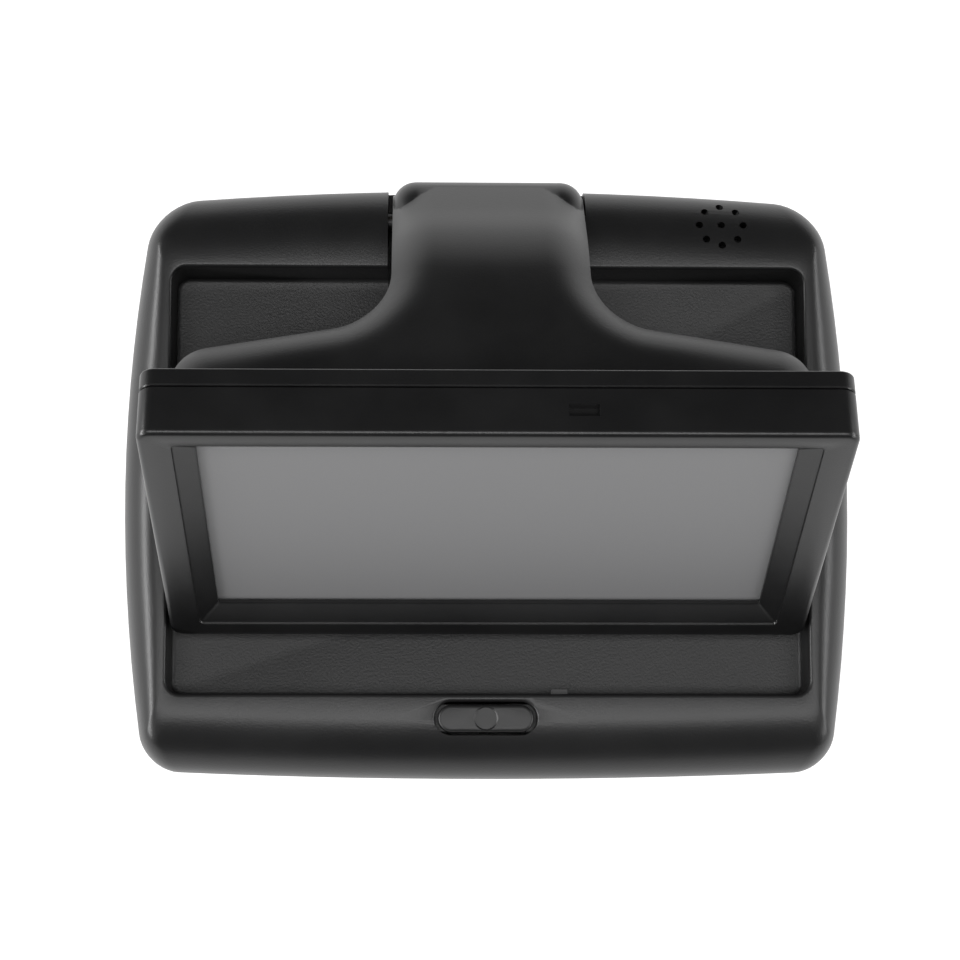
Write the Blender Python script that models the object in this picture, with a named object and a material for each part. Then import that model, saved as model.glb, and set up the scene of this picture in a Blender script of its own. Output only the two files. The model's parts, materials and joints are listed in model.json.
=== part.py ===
"""Fold-flat dashboard display with a warning beeper: a low base with a recess, a T-shaped arm hinged in the
base's rear rim, and a 4.3-inch screen hinged to the arm. Metres, +Z up, the screen faces -Y."""

import math

import bmesh
import bpy
from mathutils import Matrix, Vector

MM = 0.001

# ---- Driving dimensions -------------------------------------------------------------------------------
# Screen
SCREEN_WIDTH = 112.6 * MM
SCREEN_HEIGHT = 70.3 * MM
SCREEN_CORNER = 2.5 * MM
FRONT_SHELL_DEPTH = 8.6 * MM
REAR_SHELL_DEPTH = 3.2 * MM
PARTING_GAP = 0.3 * MM
SCREEN_WALL = 2.2 * MM
WINDOW_DEPTH = 1.7 * MM
WINDOW_RIM = 0.7 * MM
TOP_MARGIN = 6.9 * MM
SIDE_MARGIN = 8.8 * MM
BOTTOM_MARGIN = 9.5 * MM
BEZEL_SLOPE = 3.7 * MM
GLASS_THICKNESS = 0.9 * MM
PANEL_THICKNESS = 2.8 * MM
NOTCH_WIDTH = 4.8 * MM
NOTCH_HEIGHT = 2.2 * MM
NOTCH_DEPTH = 1.5 * MM
NOTCH_X = 13.3 * MM
NOTCH_FROM_FACE = 4.6 * MM
FRONT_EDGE = 0.8 * MM
REAR_EDGE = 0.5 * MM
REAR_WALL = 1.6 * MM
PANEL_MARGIN = 1.5 * MM

# Base
FRONT_RIM = 14.7 * MM
REAR_RIM = 16.7 * MM
SIDE_RIM = 8.9 * MM
RECESS_DEPTH = 10.5 * MM
RIM_HEIGHT = 17.0 * MM
WIDEST_HEIGHT = 6.0 * MM
FRONT_ROUNDING = 11.0 * MM
REAR_ROUNDING = 13.0 * MM
SIDE_ROUNDING = 7.0 * MM
SKIRT_TUCK = 0.8 * MM
SIDE_LAND = 1.0 * MM
FRONT_CORNER = 6.5 * MM
REAR_CORNER = 9.0 * MM
SIDE_BOW_RADIUS = 317 * MM
SIDE_BOW_CENTRE = -1.3 * MM
REAR_BOW_RADIUS = 800 * MM
FRONT_BOW_RADIUS = 1500 * MM
BASE_WALL = 2.2 * MM
TUB_WALL = 1.2 * MM
TUB_FLOOR = 1.5 * MM
RECESS_CORNER = 2.5 * MM

# Underside
PAD_THICKNESS = 1.0 * MM
PAD_PROUD = 0.5 * MM
PAD_WIDTH = 92.0 * MM
PAD_LENGTH = 68.0 * MM
PAD_CORNER = 6.0 * MM
PLATE_THICKNESS = 1.9 * MM

# How the screen lies in the recess when it is shut
FRONT_GAP = 0.6 * MM
REAR_GAP = 5.9 * MM
SIDE_GAP = 0.6 * MM
FLOOR_GAP = 0.5 * MM

# Hinges
ARM_AXIS_FROM_REAR = 7.5 * MM
ARM_AXIS_BELOW_RIM = 4.0 * MM
ARM_OPEN = math.radians(24.0)
SCREEN_LEAN = math.radians(21.8)
SCREEN_AXIS_FROM_TOP = 30.7 * MM
SCREEN_AXIS_FROM_FACE = 16.0 * MM
ARM_PIN_RADIUS = 1.5 * MM
SCREEN_PIN_RADIUS = 1.2 * MM
EAR_RADIUS = 3.4 * MM
EAR_WIDTH = 8.0 * MM
EAR_CENTRE = 34.0 * MM
EAR_GAP = 0.5 * MM
EAR_FOOT_SPREAD = 0.6 * MM
SCREEN_PIN_BEYOND_EAR = 5.0 * MM
SLEEVE_RADIUS = 2.7 * MM
BUSH_RADIUS = 2.2 * MM
CHEEK = 4.2 * MM

# Arm
NECK_HALF_WIDTH = 17.3 * MM
NECK_LEFT_GAP = 0.9 * MM
NECK_RIGHT_GAP = 0.45 * MM
BARREL_RADIUS = 7.4 * MM
BAR_SHORT_OF_SCREEN = 1.9 * MM
BAR_DEPTH = 18.8 * MM
BAR_REAR_SLANT = 6.8 * MM
BAR_OVERHANG = 2.9 * MM
NECK_FILLET = 12.5 * MM
BAR_REAR_CORNER = 7.0 * MM
BAR_FRONT_CORNER = 4.0 * MM
ARM_EDGE_WIDTH = 8.0 * MM
ARM_EDGE_DROP = 4.2 * MM
ARM_WALL = 2.2 * MM
ARM_OVER_SCREEN = 1.2 * MM
UNDER_COVER_THICKNESS = 1.4 * MM
NECK_HOLLOW_END = -14.2 * MM
UNDERSIDE_DROP_START = -14.0 * MM
UNDERSIDE_DROP_LENGTH = 9.0 * MM
BARREL_REAR = BARREL_RADIUS * 0.92
BARREL_END = math.radians(30)

# Release button and latch
BUTTON_LENGTH = 17.0 * MM
BUTTON_WIDTH = 4.8 * MM
BUTTON_GAP = 0.6 * MM
BUTTON_CENTRE = (-0.5 * MM, 4.35 * MM)
BUTTON_TRAVEL = 1.0 * MM
BUTTON_CROWN = 0.35 * MM
BUTTON_DISH_RADIUS = 2.0 * MM
BUTTON_DISH_DEPTH = 0.25 * MM
BUTTON_FLANGE = (-2.3 * MM, 2.6 * MM)
FLANGE_BEYOND_OPENING = 1.2 * MM
STEM_RADIUS = 1.6 * MM
STEM_FOOT = 9.2 * MM
LEG_X = 6.0 * MM
LEG_HALF = 1.5 * MM
LEG_HALF_LENGTH = 1.0 * MM
LEG_BELOW_LATCH = 1.6 * MM
LATCH_X = 12.7 * MM
LATCH_WIDTH = 2.9 * MM
LATCH_THICKNESS = 1.4 * MM
LATCH_REACH = 1.1 * MM
LATCH_FRONT_LAND = 2.2 * MM
LATCH_SIDE_LAND = 2.0 * MM
LATCH_SPRING_LENGTH = 1.6 * MM
LATCH_SPRING_DROP = 0.6 * MM

# Beeper
GRILLE_FROM_SIDE = 13.9 * MM
GRILLE_FROM_REAR = 8.2 * MM
GRILLE_RADIUS = 4.0 * MM
GRILLE_HOLE_RADIUS = 0.6 * MM
GRILLE_HOLES = 8
BUZZER_RADIUS = 4.5 * MM
BUZZER_HEIGHT = 8.0 * MM
BUZZER_SETBACK = 2.2 * MM
BUZZER_EDGE = 0.5 * MM
BUZZER_PORT_DEPTH = 1.5 * MM

# Boards and cable inlet
BOARD_THICKNESS = 1.0 * MM
MAIN_BOARD_WIDTH = 80.0 * MM
MAIN_BOARD_MARGIN = 14.0 * MM
DRIVER_BOARD_WIDTH = 72.0 * MM
DRIVER_BOARD_MARGIN = 8.0 * MM
INLET_X = -36.0 * MM
INLET_HEIGHT = 5.3 * MM
INLET_RECESSED = 1.6 * MM
INLET_RADIUS = 2.3 * MM
INLET_LENGTH = 9.0 * MM
INLET_BORE_WALL = 0.9 * MM

# Fits and fasteners
GAP = 0.3 * MM
SCREW_RADIUS = 1.0 * MM
SCREW_HEAD_RADIUS = 1.9 * MM
SCREW_HEAD_HEIGHT = 0.9 * MM
BASE_SCREW_REACH = 7.0 * MM
ARM_SCREW_REACH = 5.5 * MM
SCREEN_SCREW_REACH = 7.5 * MM
BASE_BOSS_RADIUS = 2.7 * MM
ARM_BOSS_RADIUS = 2.4 * MM
SCREEN_BOSS_RADIUS = 3.0 * MM
BOSS_SHORT = 0.1 * MM
BASE_SCREW_FROM_SIDE = 4.8 * MM
BASE_SCREW_FROM_RECESS = (6.5 * MM, 6.3 * MM)
BAR_SCREW_FROM_END = 12.4 * MM
BAR_SCREW_FROM_REAR = 5.8 * MM
NECK_SCREW_X = 8.0 * MM
NECK_SCREW_Y = -20.0 * MM
SCREEN_SCREW_EDGE = 4.3 * MM
OVERCUT = 2.0 * MM
CORNER_STEPS = 6
BOW_STEPS = 6
ROUNDING_STEPS = 5
ARM_EDGE_STEPS = 4

# ---- Derived places -----------------------------------------------------------------------------------
SCREEN_DEPTH = FRONT_SHELL_DEPTH + PARTING_GAP + REAR_SHELL_DEPTH
WINDOW_WIDTH = SCREEN_WIDTH - 2 * SIDE_MARGIN
WINDOW_HEIGHT = SCREEN_HEIGHT - TOP_MARGIN - BOTTOM_MARGIN
BAR_HALF_WIDTH = SCREEN_WIDTH / 2 - BAR_SHORT_OF_SCREEN
BASE_SCREW_X = SCREEN_WIDTH / 2 - BASE_SCREW_FROM_SIDE
RECESS_WIDTH = SCREEN_WIDTH + 2 * SIDE_GAP
RECESS_LENGTH = SCREEN_HEIGHT + FRONT_GAP + REAR_GAP
BASE_WIDTH = RECESS_WIDTH + 2 * SIDE_RIM
BASE_DEPTH = RECESS_LENGTH + FRONT_RIM + REAR_RIM
RECESS_FRONT = -BASE_DEPTH / 2 + FRONT_RIM
RECESS_REAR = BASE_DEPTH / 2 - REAR_RIM
RECESS_FLOOR = RIM_HEIGHT - RECESS_DEPTH
PLATE_TOP = PAD_PROUD + PLATE_THICKNESS
ARM_AXIS = Vector((0, BASE_DEPTH / 2 - ARM_AXIS_FROM_REAR, RIM_HEIGHT - ARM_AXIS_BELOW_RIM))
SHUT_SCREEN_AXIS = Vector((0, RECESS_FRONT + FRONT_GAP + SCREEN_AXIS_FROM_TOP,
                           RECESS_FLOOR + FLOOR_GAP + SCREEN_AXIS_FROM_FACE))
# The screen's axis seen from the arm's axis, in the arm's own frame, where the shut arm lies level.
SCREEN_AXIS_ON_ARM = SHUT_SCREEN_AXIS - ARM_AXIS
SCREEN_BACK_ON_ARM = SCREEN_AXIS_ON_ARM.z - (SCREEN_AXIS_FROM_FACE - SCREEN_DEPTH)
ARM_UNDERSIDE = SCREEN_BACK_ON_ARM + ARM_OVER_SCREEN
BAR_FRONT = SCREEN_AXIS_ON_ARM.y - BAR_OVERHANG
BAR_REAR = BAR_FRONT + BAR_DEPTH
BUTTON_Y = RECESS_FRONT - BUTTON_CENTRE[1]
GRILLE_X = SCREEN_WIDTH / 2 - GRILLE_FROM_SIDE
GRILLE_Y = BASE_DEPTH / 2 - GRILLE_FROM_REAR
LATCH_Z = RECESS_FLOOR + FLOOR_GAP + NOTCH_FROM_FACE
FLANGE_HIGH = RIM_HEIGHT - BASE_WALL - 1.5 * GAP
FLANGE_LOW = LATCH_Z + LATCH_THICKNESS / 2 + BUTTON_TRAVEL + GAP
FLANGE_HALF = BUTTON_LENGTH / 2 + BUTTON_GAP + FLANGE_BEYOND_OPENING
SLOT_LEFT = -NECK_HALF_WIDTH - NECK_LEFT_GAP
SLOT_RIGHT = NECK_HALF_WIDTH + NECK_RIGHT_GAP
SLOT_FLOOR = ARM_AXIS.z - BARREL_RADIUS - GAP
ARM_PIN_END = SLOT_RIGHT + CHEEK - GAP
BOSS_PLACES = [(x, y) for x in (-BASE_SCREW_X, BASE_SCREW_X)
               for y in (RECESS_FRONT - BASE_SCREW_FROM_RECESS[0], RECESS_REAR + BASE_SCREW_FROM_RECESS[1])]
INLET = Vector((INLET_X, BASE_DEPTH / 2 - INLET_RECESSED, INLET_HEIGHT))
ARM_HOLLOW_FRONT = SCREEN_AXIS_ON_ARM.y + EAR_RADIUS + 5 * EAR_GAP
BAR_SCREW_X = BAR_HALF_WIDTH - BAR_SCREW_FROM_END
ARM_SCREWS = [(-BAR_SCREW_X, BAR_REAR - BAR_SCREW_FROM_REAR), (BAR_SCREW_X, BAR_REAR - BAR_SCREW_FROM_REAR),
              (-NECK_SCREW_X, NECK_SCREW_Y), (NECK_SCREW_X, NECK_SCREW_Y)]
# The lid line: the height of the arm's back above its hinge, from the hinge barrel to the bar's front edge.
LID_LINE = [(BARREL_RADIUS * math.sin(BARREL_END), BARREL_RADIUS * math.cos(BARREL_END)),
            (-4.9 * MM, 10.9 * MM), (-13.5 * MM, 15.3 * MM), (-21.2 * MM, 17.8 * MM),
            (-28.0 * MM, 18.6 * MM), (-36.0 * MM, 18.4 * MM), (-44.0 * MM, 17.5 * MM), (-60.0 * MM, 15.6 * MM)]
# The screen's own frame has its axis at the origin; it lies as when shut, its face down and its top to -Y.
FACE_Z = -SCREEN_AXIS_FROM_FACE
SCREEN_TOP = -SCREEN_AXIS_FROM_TOP
SCREEN_BOTTOM = SCREEN_TOP + SCREEN_HEIGHT
SEAM_Z = FACE_Z + FRONT_SHELL_DEPTH
BACK_Z = FACE_Z + SCREEN_DEPTH
WINDOW_TOP = SCREEN_TOP + TOP_MARGIN
WINDOW_BOTTOM = WINDOW_TOP + WINDOW_HEIGHT
GLASS_Z = FACE_Z + WINDOW_DEPTH + WINDOW_RIM
SCREEN_SCREWS = [(side * (SCREEN_WIDTH / 2 - SCREEN_SCREW_EDGE), y) for side in (-1, 1)
                 for y in (SCREEN_TOP + SCREEN_SCREW_EDGE, SCREEN_BOTTOM - SCREEN_SCREW_EDGE)]


def clear_scene():
    for obj in list(bpy.data.objects):
        bpy.data.objects.remove(obj, do_unlink=True)


def collection(name):
    made = bpy.data.collections.new(name)
    bpy.context.scene.collection.children.link(made)
    return made


def material(name, colour, roughness, metallic=0.0):
    made = bpy.data.materials.new(name)
    made.use_nodes = True
    made.diffuse_color = (*colour, 1)
    shader = made.node_tree.nodes["Principled BSDF"]
    shader.inputs["Base Color"].default_value = (*colour, 1)
    shader.inputs["Roughness"].default_value = roughness
    shader.inputs["Metallic"].default_value = metallic
    return made


clear_scene()
PARTS = collection("Fold_flat_display")
CUTTERS = collection("Cutters")

GRAINED = material("grained_black_plastic", (0.022, 0.022, 0.024), 0.5)
SATIN = material("satin_black_plastic", (0.018, 0.018, 0.02), 0.36)
BEZEL = material("bezel_black_plastic", (0.02, 0.02, 0.021), 0.42)
DISPLAY = material("display_grey", (0.18, 0.18, 0.18), 0.3)
BOARD = material("green_circuit_board", (0.03, 0.14, 0.06), 0.5)
PLATED_STEEL = material("plated_steel", (0.62, 0.62, 0.64), 0.3, 1.0)
BRASS = material("turned_brass", (0.72, 0.52, 0.22), 0.35, 1.0)
BACKLIGHT = material("backlight_white", (0.75, 0.75, 0.74), 0.4)
RUBBER = material("black_rubber", (0.03, 0.03, 0.03), 0.85)
FOAM = material("foam_tape", (0.05, 0.05, 0.052), 0.95)
BUZZER_CASE = material("buzzer_plastic", (0.03, 0.03, 0.032), 0.6)


# ---- Outlines -----------------------------------------------------------------------------------------
def filleted(corners, steps=CORNER_STEPS):
    """The outline through (x, y, radius) corners, each rounded by an arc that touches both its sides."""
    points = []
    for i, (x, y, radius) in enumerate(corners):
        corner = Vector((x, y))
        before = (Vector(corners[i - 1][:2]) - corner).normalized()
        after = (Vector(corners[(i + 1) % len(corners)][:2]) - corner).normalized()
        half = before.angle(after) / 2
        if radius <= 0 or math.pi / 2 - half < 1e-3:
            points.append(corner)
            continue
        start = corner + before * radius / math.tan(half)
        centre = corner + (before + after).normalized() * radius / math.sin(half)
        turn = (start - centre).angle_signed(corner + after * radius / math.tan(half) - centre)
        for step in range(steps + 1):
            arm = (start - centre).copy()
            arm.rotate(Matrix.Rotation(-turn * step / steps, 2))
            points.append(centre + arm)
    return points


def rounded_box_outline(low, high, radius, steps=CORNER_STEPS):
    (x0, y0), (x1, y1) = low, high
    return filleted([(x0, y0, radius), (x1, y0, radius), (x1, y1, radius), (x0, y1, radius)], steps)


def stadium(centre, length, width, steps=8):
    half_x, half_y = length / 2, width / 2
    return rounded_box_outline((centre[0] - half_x, centre[1] - half_y),
                               (centre[0] + half_x, centre[1] + half_y), half_y * 0.999, steps)


def base_outline(wall, share=0.0):
    """The base's barrel-shaped outline this far inside its skin, at this share of the rim's rounding."""
    sides, front, rear = (wall + share * width for width in (SIDE_ROUNDING, FRONT_ROUNDING, REAR_ROUNDING))
    half_x, low, high = BASE_WIDTH / 2 - sides, -BASE_DEPTH / 2 + front, BASE_DEPTH / 2 - rear
    front_r = max(FRONT_CORNER - (sides + front) / 2, RECESS_CORNER)
    rear_r = max(REAR_CORNER - (sides + rear) / 2, RECESS_CORNER)
    corners = [(-half_x, low, front_r), (half_x, low, front_r), (half_x, high, rear_r), (-half_x, high, rear_r)]
    plain = filleted(corners)
    points = []
    for i, point in enumerate(plain):
        following = plain[(i + 1) % len(plain)]
        points.append(point)
        if (following - point).length > 4 * REAR_CORNER:
            points += [point.lerp(following, step / BOW_STEPS) for step in range(1, BOW_STEPS)]
    bowed = []
    for x, y in points:
        side_bow = (y - SIDE_BOW_CENTRE) ** 2 / (2 * SIDE_BOW_RADIUS)
        end_bow = x ** 2 / (2 * (REAR_BOW_RADIUS if y > 0 else FRONT_BOW_RADIUS))
        widest = BASE_WIDTH / 2 - wall - side_bow
        land = RECESS_WIDTH / 2 + SIDE_LAND - wall
        side = max(half_x - side_bow, widest - share * (widest - land))
        bowed.append((x / half_x * side, y - (y / high if y > 0 else -y / low) * end_bow))
    return bowed


def arm_outline(inset=0.0):
    """The arm's T seen from above in its own frame: the neck runs from its hinge to a wide bar."""
    slant = math.atan2(BAR_REAR_SLANT, BAR_HALF_WIDTH - NECK_HALF_WIDTH)
    neck, bar = NECK_HALF_WIDTH - inset, BAR_HALF_WIDTH - inset
    lift = inset / math.cos(slant)
    bar_side = BAR_REAR - lift
    neck_side = BAR_REAR + BAR_REAR_SLANT * (bar - neck) / (BAR_HALF_WIDTH - NECK_HALF_WIDTH) - lift
    right = [(bar, BAR_FRONT + inset, max(BAR_FRONT_CORNER - inset, 0.4 * MM)),
             (bar, bar_side, max(BAR_REAR_CORNER - inset, 0.4 * MM)),
             (neck, neck_side, NECK_FILLET + inset),
             (neck, BARREL_REAR, 0)]
    return filleted([(-x, y, r) for x, y, r in reversed(right)] + right)


# ---- Solids -------------------------------------------------------------------------------------------
def finish(name, mesh, finish_material, pivot=None, smooth=True):
    obj = bpy.data.objects.new(name, mesh)
    mesh.materials.append(finish_material)
    PARTS.objects.link(obj)
    obj.parent = pivot
    if smooth:
        mesh.shade_smooth()
        mesh.set_sharp_from_angle(angle=math.radians(35))
    return obj


def cutter(name, mesh, pivot=None):
    obj = bpy.data.objects.new(name, mesh)
    CUTTERS.objects.link(obj)
    obj.parent = pivot
    obj.hide_render = True
    obj.display_type = "WIRE"
    return obj


def to_mesh(name, bm):
    bmesh.ops.recalc_face_normals(bm, faces=bm.faces[:])
    mesh = bpy.data.meshes.new(name)
    bm.to_mesh(mesh)
    bm.free()
    return mesh


def loft(name, rings):
    """A closed solid through rings of 3-D points, each ring with the same number of points."""
    bm = bmesh.new()
    stack = [[bm.verts.new(point) for point in ring] for ring in rings]
    count = len(rings[0])
    for lower, upper in zip(stack, stack[1:]):
        for i in range(count):
            j = (i + 1) % count
            bm.faces.new((lower[i], lower[j], upper[j], upper[i]))
    bm.faces.new(list(reversed(stack[0])))
    bm.faces.new(stack[-1])
    return to_mesh(name, bm)


def prism(name, outline, low, high):
    return loft(name, [[(x, y, z) for x, y in outline] for z in (low, high)])


def slab_x(name, profile, low, high):
    """A side profile of (y, z) points run along X."""
    return loft(name, [[(x, y, z) for y, z in profile] for x in (low, high)])


def block(name, low, high, bevel=0.0):
    bm = bmesh.new()
    low, high = Vector(low), Vector(high)
    size = high - low
    place = Matrix.Translation((low + high) / 2) @ Matrix.Diagonal((*size, 1))
    bmesh.ops.create_cube(bm, size=1, matrix=place)
    if bevel:
        bmesh.ops.bevel(bm, geom=bm.edges[:], offset=bevel, segments=2, profile=0.5, affect="EDGES")
    return to_mesh(name, bm)


def rod(name, start, end, radius, segments=24, end_radius=None, bevel=0.0):
    """A cylinder or cone frustum from one point to another."""
    start, end = Vector(start), Vector(end)
    run = end - start
    bm = bmesh.new()
    place = Matrix.Translation((start + end) / 2) @ run.to_track_quat("Z", "Y").to_matrix().to_4x4()
    bmesh.ops.create_cone(bm, cap_ends=True, segments=segments, radius1=radius,
                          radius2=radius if end_radius is None else end_radius, depth=run.length, matrix=place)
    if bevel:
        ends = [edge for edge in bm.edges if any(len(face.verts) > 4 for face in edge.link_faces)]
        bmesh.ops.bevel(bm, geom=ends, offset=bevel, segments=3, profile=0.5, affect="EDGES")
    return to_mesh(name, bm)


def turned(name, profile, place, segments=24):
    """A profile of (radius, height) points turned about Z, then put at place."""
    bm = bmesh.new()
    verts = [bm.verts.new((r, 0, z)) for r, z in profile]
    edges = [bm.edges.new(pair) for pair in zip(verts, verts[1:])]
    if profile[0][0] > 0:
        edges.append(bm.edges.new((verts[-1], verts[0])))
    bmesh.ops.spin(bm, geom=verts + edges, cent=(0, 0, 0), axis=(0, 0, 1), angle=math.tau,
                   steps=segments, use_merge=True)
    bmesh.ops.remove_doubles(bm, verts=bm.verts[:], dist=0.001 * MM)
    bmesh.ops.transform(bm, matrix=place, verts=bm.verts[:])
    return to_mesh(name, bm)


def ring_mesh(name, start, end, outer, inner, segments=24):
    """A tube or washer from one point to another."""
    start, end = Vector(start), Vector(end)
    run = end - start
    place = Matrix.Translation(start) @ run.to_track_quat("Z", "Y").to_matrix().to_4x4()
    profile = [(inner, 0), (outer, 0), (outer, run.length), (inner, run.length)]
    return turned(name, profile, place, segments)


def boolean(obj, other, operation="DIFFERENCE"):
    modifier = obj.modifiers.new(other.name, "BOOLEAN")
    modifier.operation = operation
    modifier.solver = "EXACT"
    modifier.object = other
    return obj


def coil(name, start, end, radius, wire, turns, finish_material):
    """A small compression spring as a wire on a helix."""
    start, end = Vector(start), Vector(end)
    run = end - start
    place = Matrix.Translation(start) @ run.to_track_quat("Z", "Y").to_matrix().to_4x4()
    steps = int(10 * turns)
    curve = bpy.data.curves.new(name, "CURVE")
    curve.dimensions = "3D"
    curve.bevel_depth = wire
    curve.bevel_resolution = 1
    curve.use_fill_caps = True
    spline = curve.splines.new("POLY")
    spline.points.add(steps)
    for i, point in enumerate(spline.points):
        angle = math.tau * turns * i / steps
        height = wire + (run.length - 2 * wire) * i / steps
        point.co = (*(place @ Vector((radius * math.cos(angle), radius * math.sin(angle), height))), 1)
    obj = bpy.data.objects.new(name, curve)
    curve.materials.append(finish_material)
    PARTS.objects.link(obj)
    return obj


def screw(name, head, tip, pivot=None):
    """A pan-head screw with a cross recess, its head's outer face at head and its end at tip."""
    head, tip = Vector(head), Vector(tip)
    run = tip - head
    place = Matrix.Translation(head) @ run.to_track_quat("Z", "Y").to_matrix().to_4x4()
    profile = [(0, 0), (SCREW_HEAD_RADIUS * 0.8, 0), (SCREW_HEAD_RADIUS, SCREW_HEAD_HEIGHT * 0.4),
               (SCREW_HEAD_RADIUS, SCREW_HEAD_HEIGHT), (SCREW_RADIUS, SCREW_HEAD_HEIGHT),
               (SCREW_RADIUS, run.length - SCREW_RADIUS), (0, run.length)]
    obj = finish(name, turned(name, profile, place, 16), PLATED_STEEL, pivot)
    half, thin = SCREW_HEAD_RADIUS * 0.6, SCREW_HEAD_RADIUS * 0.14
    deep = SCREW_HEAD_HEIGHT * 0.5
    cross = [(half, thin, 0), (thin, thin, 0), (thin, half, 0), (-thin, half, 0), (-thin, thin, 0),
             (-half, thin, 0), (-half, -thin, 0), (-thin, -thin, 0), (-thin, -half, 0), (thin, -half, 0),
             (thin, -thin, 0), (half, -thin, 0)]
    recess = prism(name + "_cross", [(x, y) for x, y, _ in cross], -deep, deep)
    recess.transform(place)
    return boolean(obj, cutter(name + "_cross", recess, pivot))


# ---- Base ---------------------------------------------------------------------------------------------
def base_rings(wall=0.0, bottom=PAD_PROUD):
    """The rings of the base's outer skin, or of a skin this much inside it."""
    rings = [(bottom, SKIRT_TUCK + wall, 0), (WIDEST_HEIGHT, wall, 0)]
    for step in range(1, ROUNDING_STEPS + 1):
        angle = math.pi / 2 * step / ROUNDING_STEPS
        height = WIDEST_HEIGHT + (RIM_HEIGHT - wall - WIDEST_HEIGHT) * math.sin(angle)
        rings.append((height, wall, 1 - math.cos(angle)))
    return [[(x, y, z) for x, y in base_outline(inset, share)] for z, inset, share in rings]


def rim_surface(y):
    """The height of the rear rim's sloping top at this distance from the base's centre."""
    drawn_in = min(max((BASE_DEPTH / 2 - y) / REAR_ROUNDING, 0), 1)
    return WIDEST_HEIGHT + (RIM_HEIGHT - WIDEST_HEIGHT) * math.sqrt(1 - (1 - drawn_in) ** 2)


def under_cavity():
    """The hollow under the cover: it keeps the walls, the tub round the recess, the slot and the bosses."""
    rings = base_rings(BASE_WALL, bottom=PAD_PROUD - OVERCUT)
    hollow = cutter("cover_cavity", loft("cover_cavity", rings))
    tub = rounded_box_outline((-RECESS_WIDTH / 2 - TUB_WALL, RECESS_FRONT - TUB_WALL),
                              (RECESS_WIDTH / 2 + TUB_WALL, RECESS_REAR + TUB_WALL), RECESS_CORNER + TUB_WALL)
    boolean(hollow, cutter("tub_block", prism("tub_block", tub, RECESS_FLOOR - TUB_FLOOR, RIM_HEIGHT + OVERCUT)))
    cheeks = block("slot_block", (SLOT_LEFT - CHEEK, RECESS_REAR, SLOT_FLOOR - TUB_FLOOR),
                   (SLOT_RIGHT + CHEEK, BASE_DEPTH / 2 + OVERCUT, RIM_HEIGHT + OVERCUT))
    boolean(hollow, cutter("slot_block", cheeks))
    for i, (x, y) in enumerate(BOSS_PLACES):
        name = f"cover_boss_{i + 1}"
        boss = rod(name, (x, y, PLATE_TOP + GAP), (x, y, RIM_HEIGHT + OVERCUT), BASE_BOSS_RADIUS, 20)
        boolean(hollow, cutter(name, boss))
    return hollow


def base_cover():
    cover = finish("base_cover", loft("base_cover", base_rings()), GRAINED)
    boolean(cover, under_cavity())
    recess = rounded_box_outline((-RECESS_WIDTH / 2, RECESS_FRONT), (RECESS_WIDTH / 2, RECESS_REAR), RECESS_CORNER)
    boolean(cover, cutter("recess", prism("recess", recess, RECESS_FLOOR, RIM_HEIGHT + OVERCUT)))
    slot = block("neck_slot", (SLOT_LEFT, RECESS_REAR - OVERCUT, SLOT_FLOOR),
                 (SLOT_RIGHT, BASE_DEPTH / 2 + 2 * OVERCUT, RIM_HEIGHT + 2 * OVERCUT))
    boolean(cover, cutter("neck_slot", slot))
    along = Vector((ARM_PIN_END + OVERCUT, 0, 0))
    bore = rod("arm_pin_bore", ARM_AXIS - along, ARM_AXIS + along, ARM_PIN_RADIUS + GAP)
    boolean(cover, cutter("arm_pin_bore", bore))
    opening = stadium((BUTTON_CENTRE[0], BUTTON_Y), BUTTON_LENGTH + 2 * BUTTON_GAP, BUTTON_WIDTH + 2 * BUTTON_GAP)
    boolean(cover, cutter("button_opening", prism("button_opening", opening, RIM_HEIGHT - 3 * BASE_WALL,
                                                  RIM_HEIGHT + OVERCUT)))
    low = (BUTTON_CENTRE[0] - FLANGE_HALF - GAP, BUTTON_Y + BUTTON_FLANGE[0] - GAP, LATCH_Z)
    high = (BUTTON_CENTRE[0] + FLANGE_HALF + GAP, BUTTON_Y + BUTTON_FLANGE[1] + GAP, FLANGE_HIGH + GAP)
    boolean(cover, cutter("flange_pocket", block("flange_pocket", low, high)))
    half = LATCH_WIDTH / 2 + GAP
    window = block("latch_window", (LATCH_X - half, RECESS_FRONT - TUB_WALL - OVERCUT, LATCH_Z - LATCH_THICKNESS),
                   (LATCH_X + half, RECESS_FRONT + OVERCUT, LATCH_Z + LATCH_THICKNESS))
    boolean(cover, cutter("latch_window", window))
    for i in range(GRILLE_HOLES + 1):
        angle = math.tau * i / GRILLE_HOLES + math.pi / 2
        reach = GRILLE_RADIUS if i < GRILLE_HOLES else 0
        x = GRILLE_X + reach * math.cos(angle)
        y = GRILLE_Y + reach * math.sin(angle)
        name = f"grille_hole_{i + 1}"
        hole = rod(name, (x, y, rim_surface(y) - 3 * BASE_WALL), (x, y, RIM_HEIGHT + OVERCUT),
                   GRILLE_HOLE_RADIUS, 10)
        boolean(cover, cutter(name, hole))
    for i, (x, y) in enumerate(BOSS_PLACES):
        name = f"boss_hole_{i + 1}"
        hole = rod(name, (x, y, PLATE_TOP - OVERCUT), (x, y, PLATE_TOP + BASE_SCREW_REACH + GAP), SCREW_RADIUS + GAP, 16)
        boolean(cover, cutter(name, hole))
    inlet = rod("inlet_hole", INLET - Vector((0, BASE_WALL + 2 * OVERCUT, 0)), INLET + Vector((0, 3 * OVERCUT, 0)),
                INLET_RADIUS + GAP)
    boolean(cover, cutter("inlet_hole", inlet))
    return cover


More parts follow.
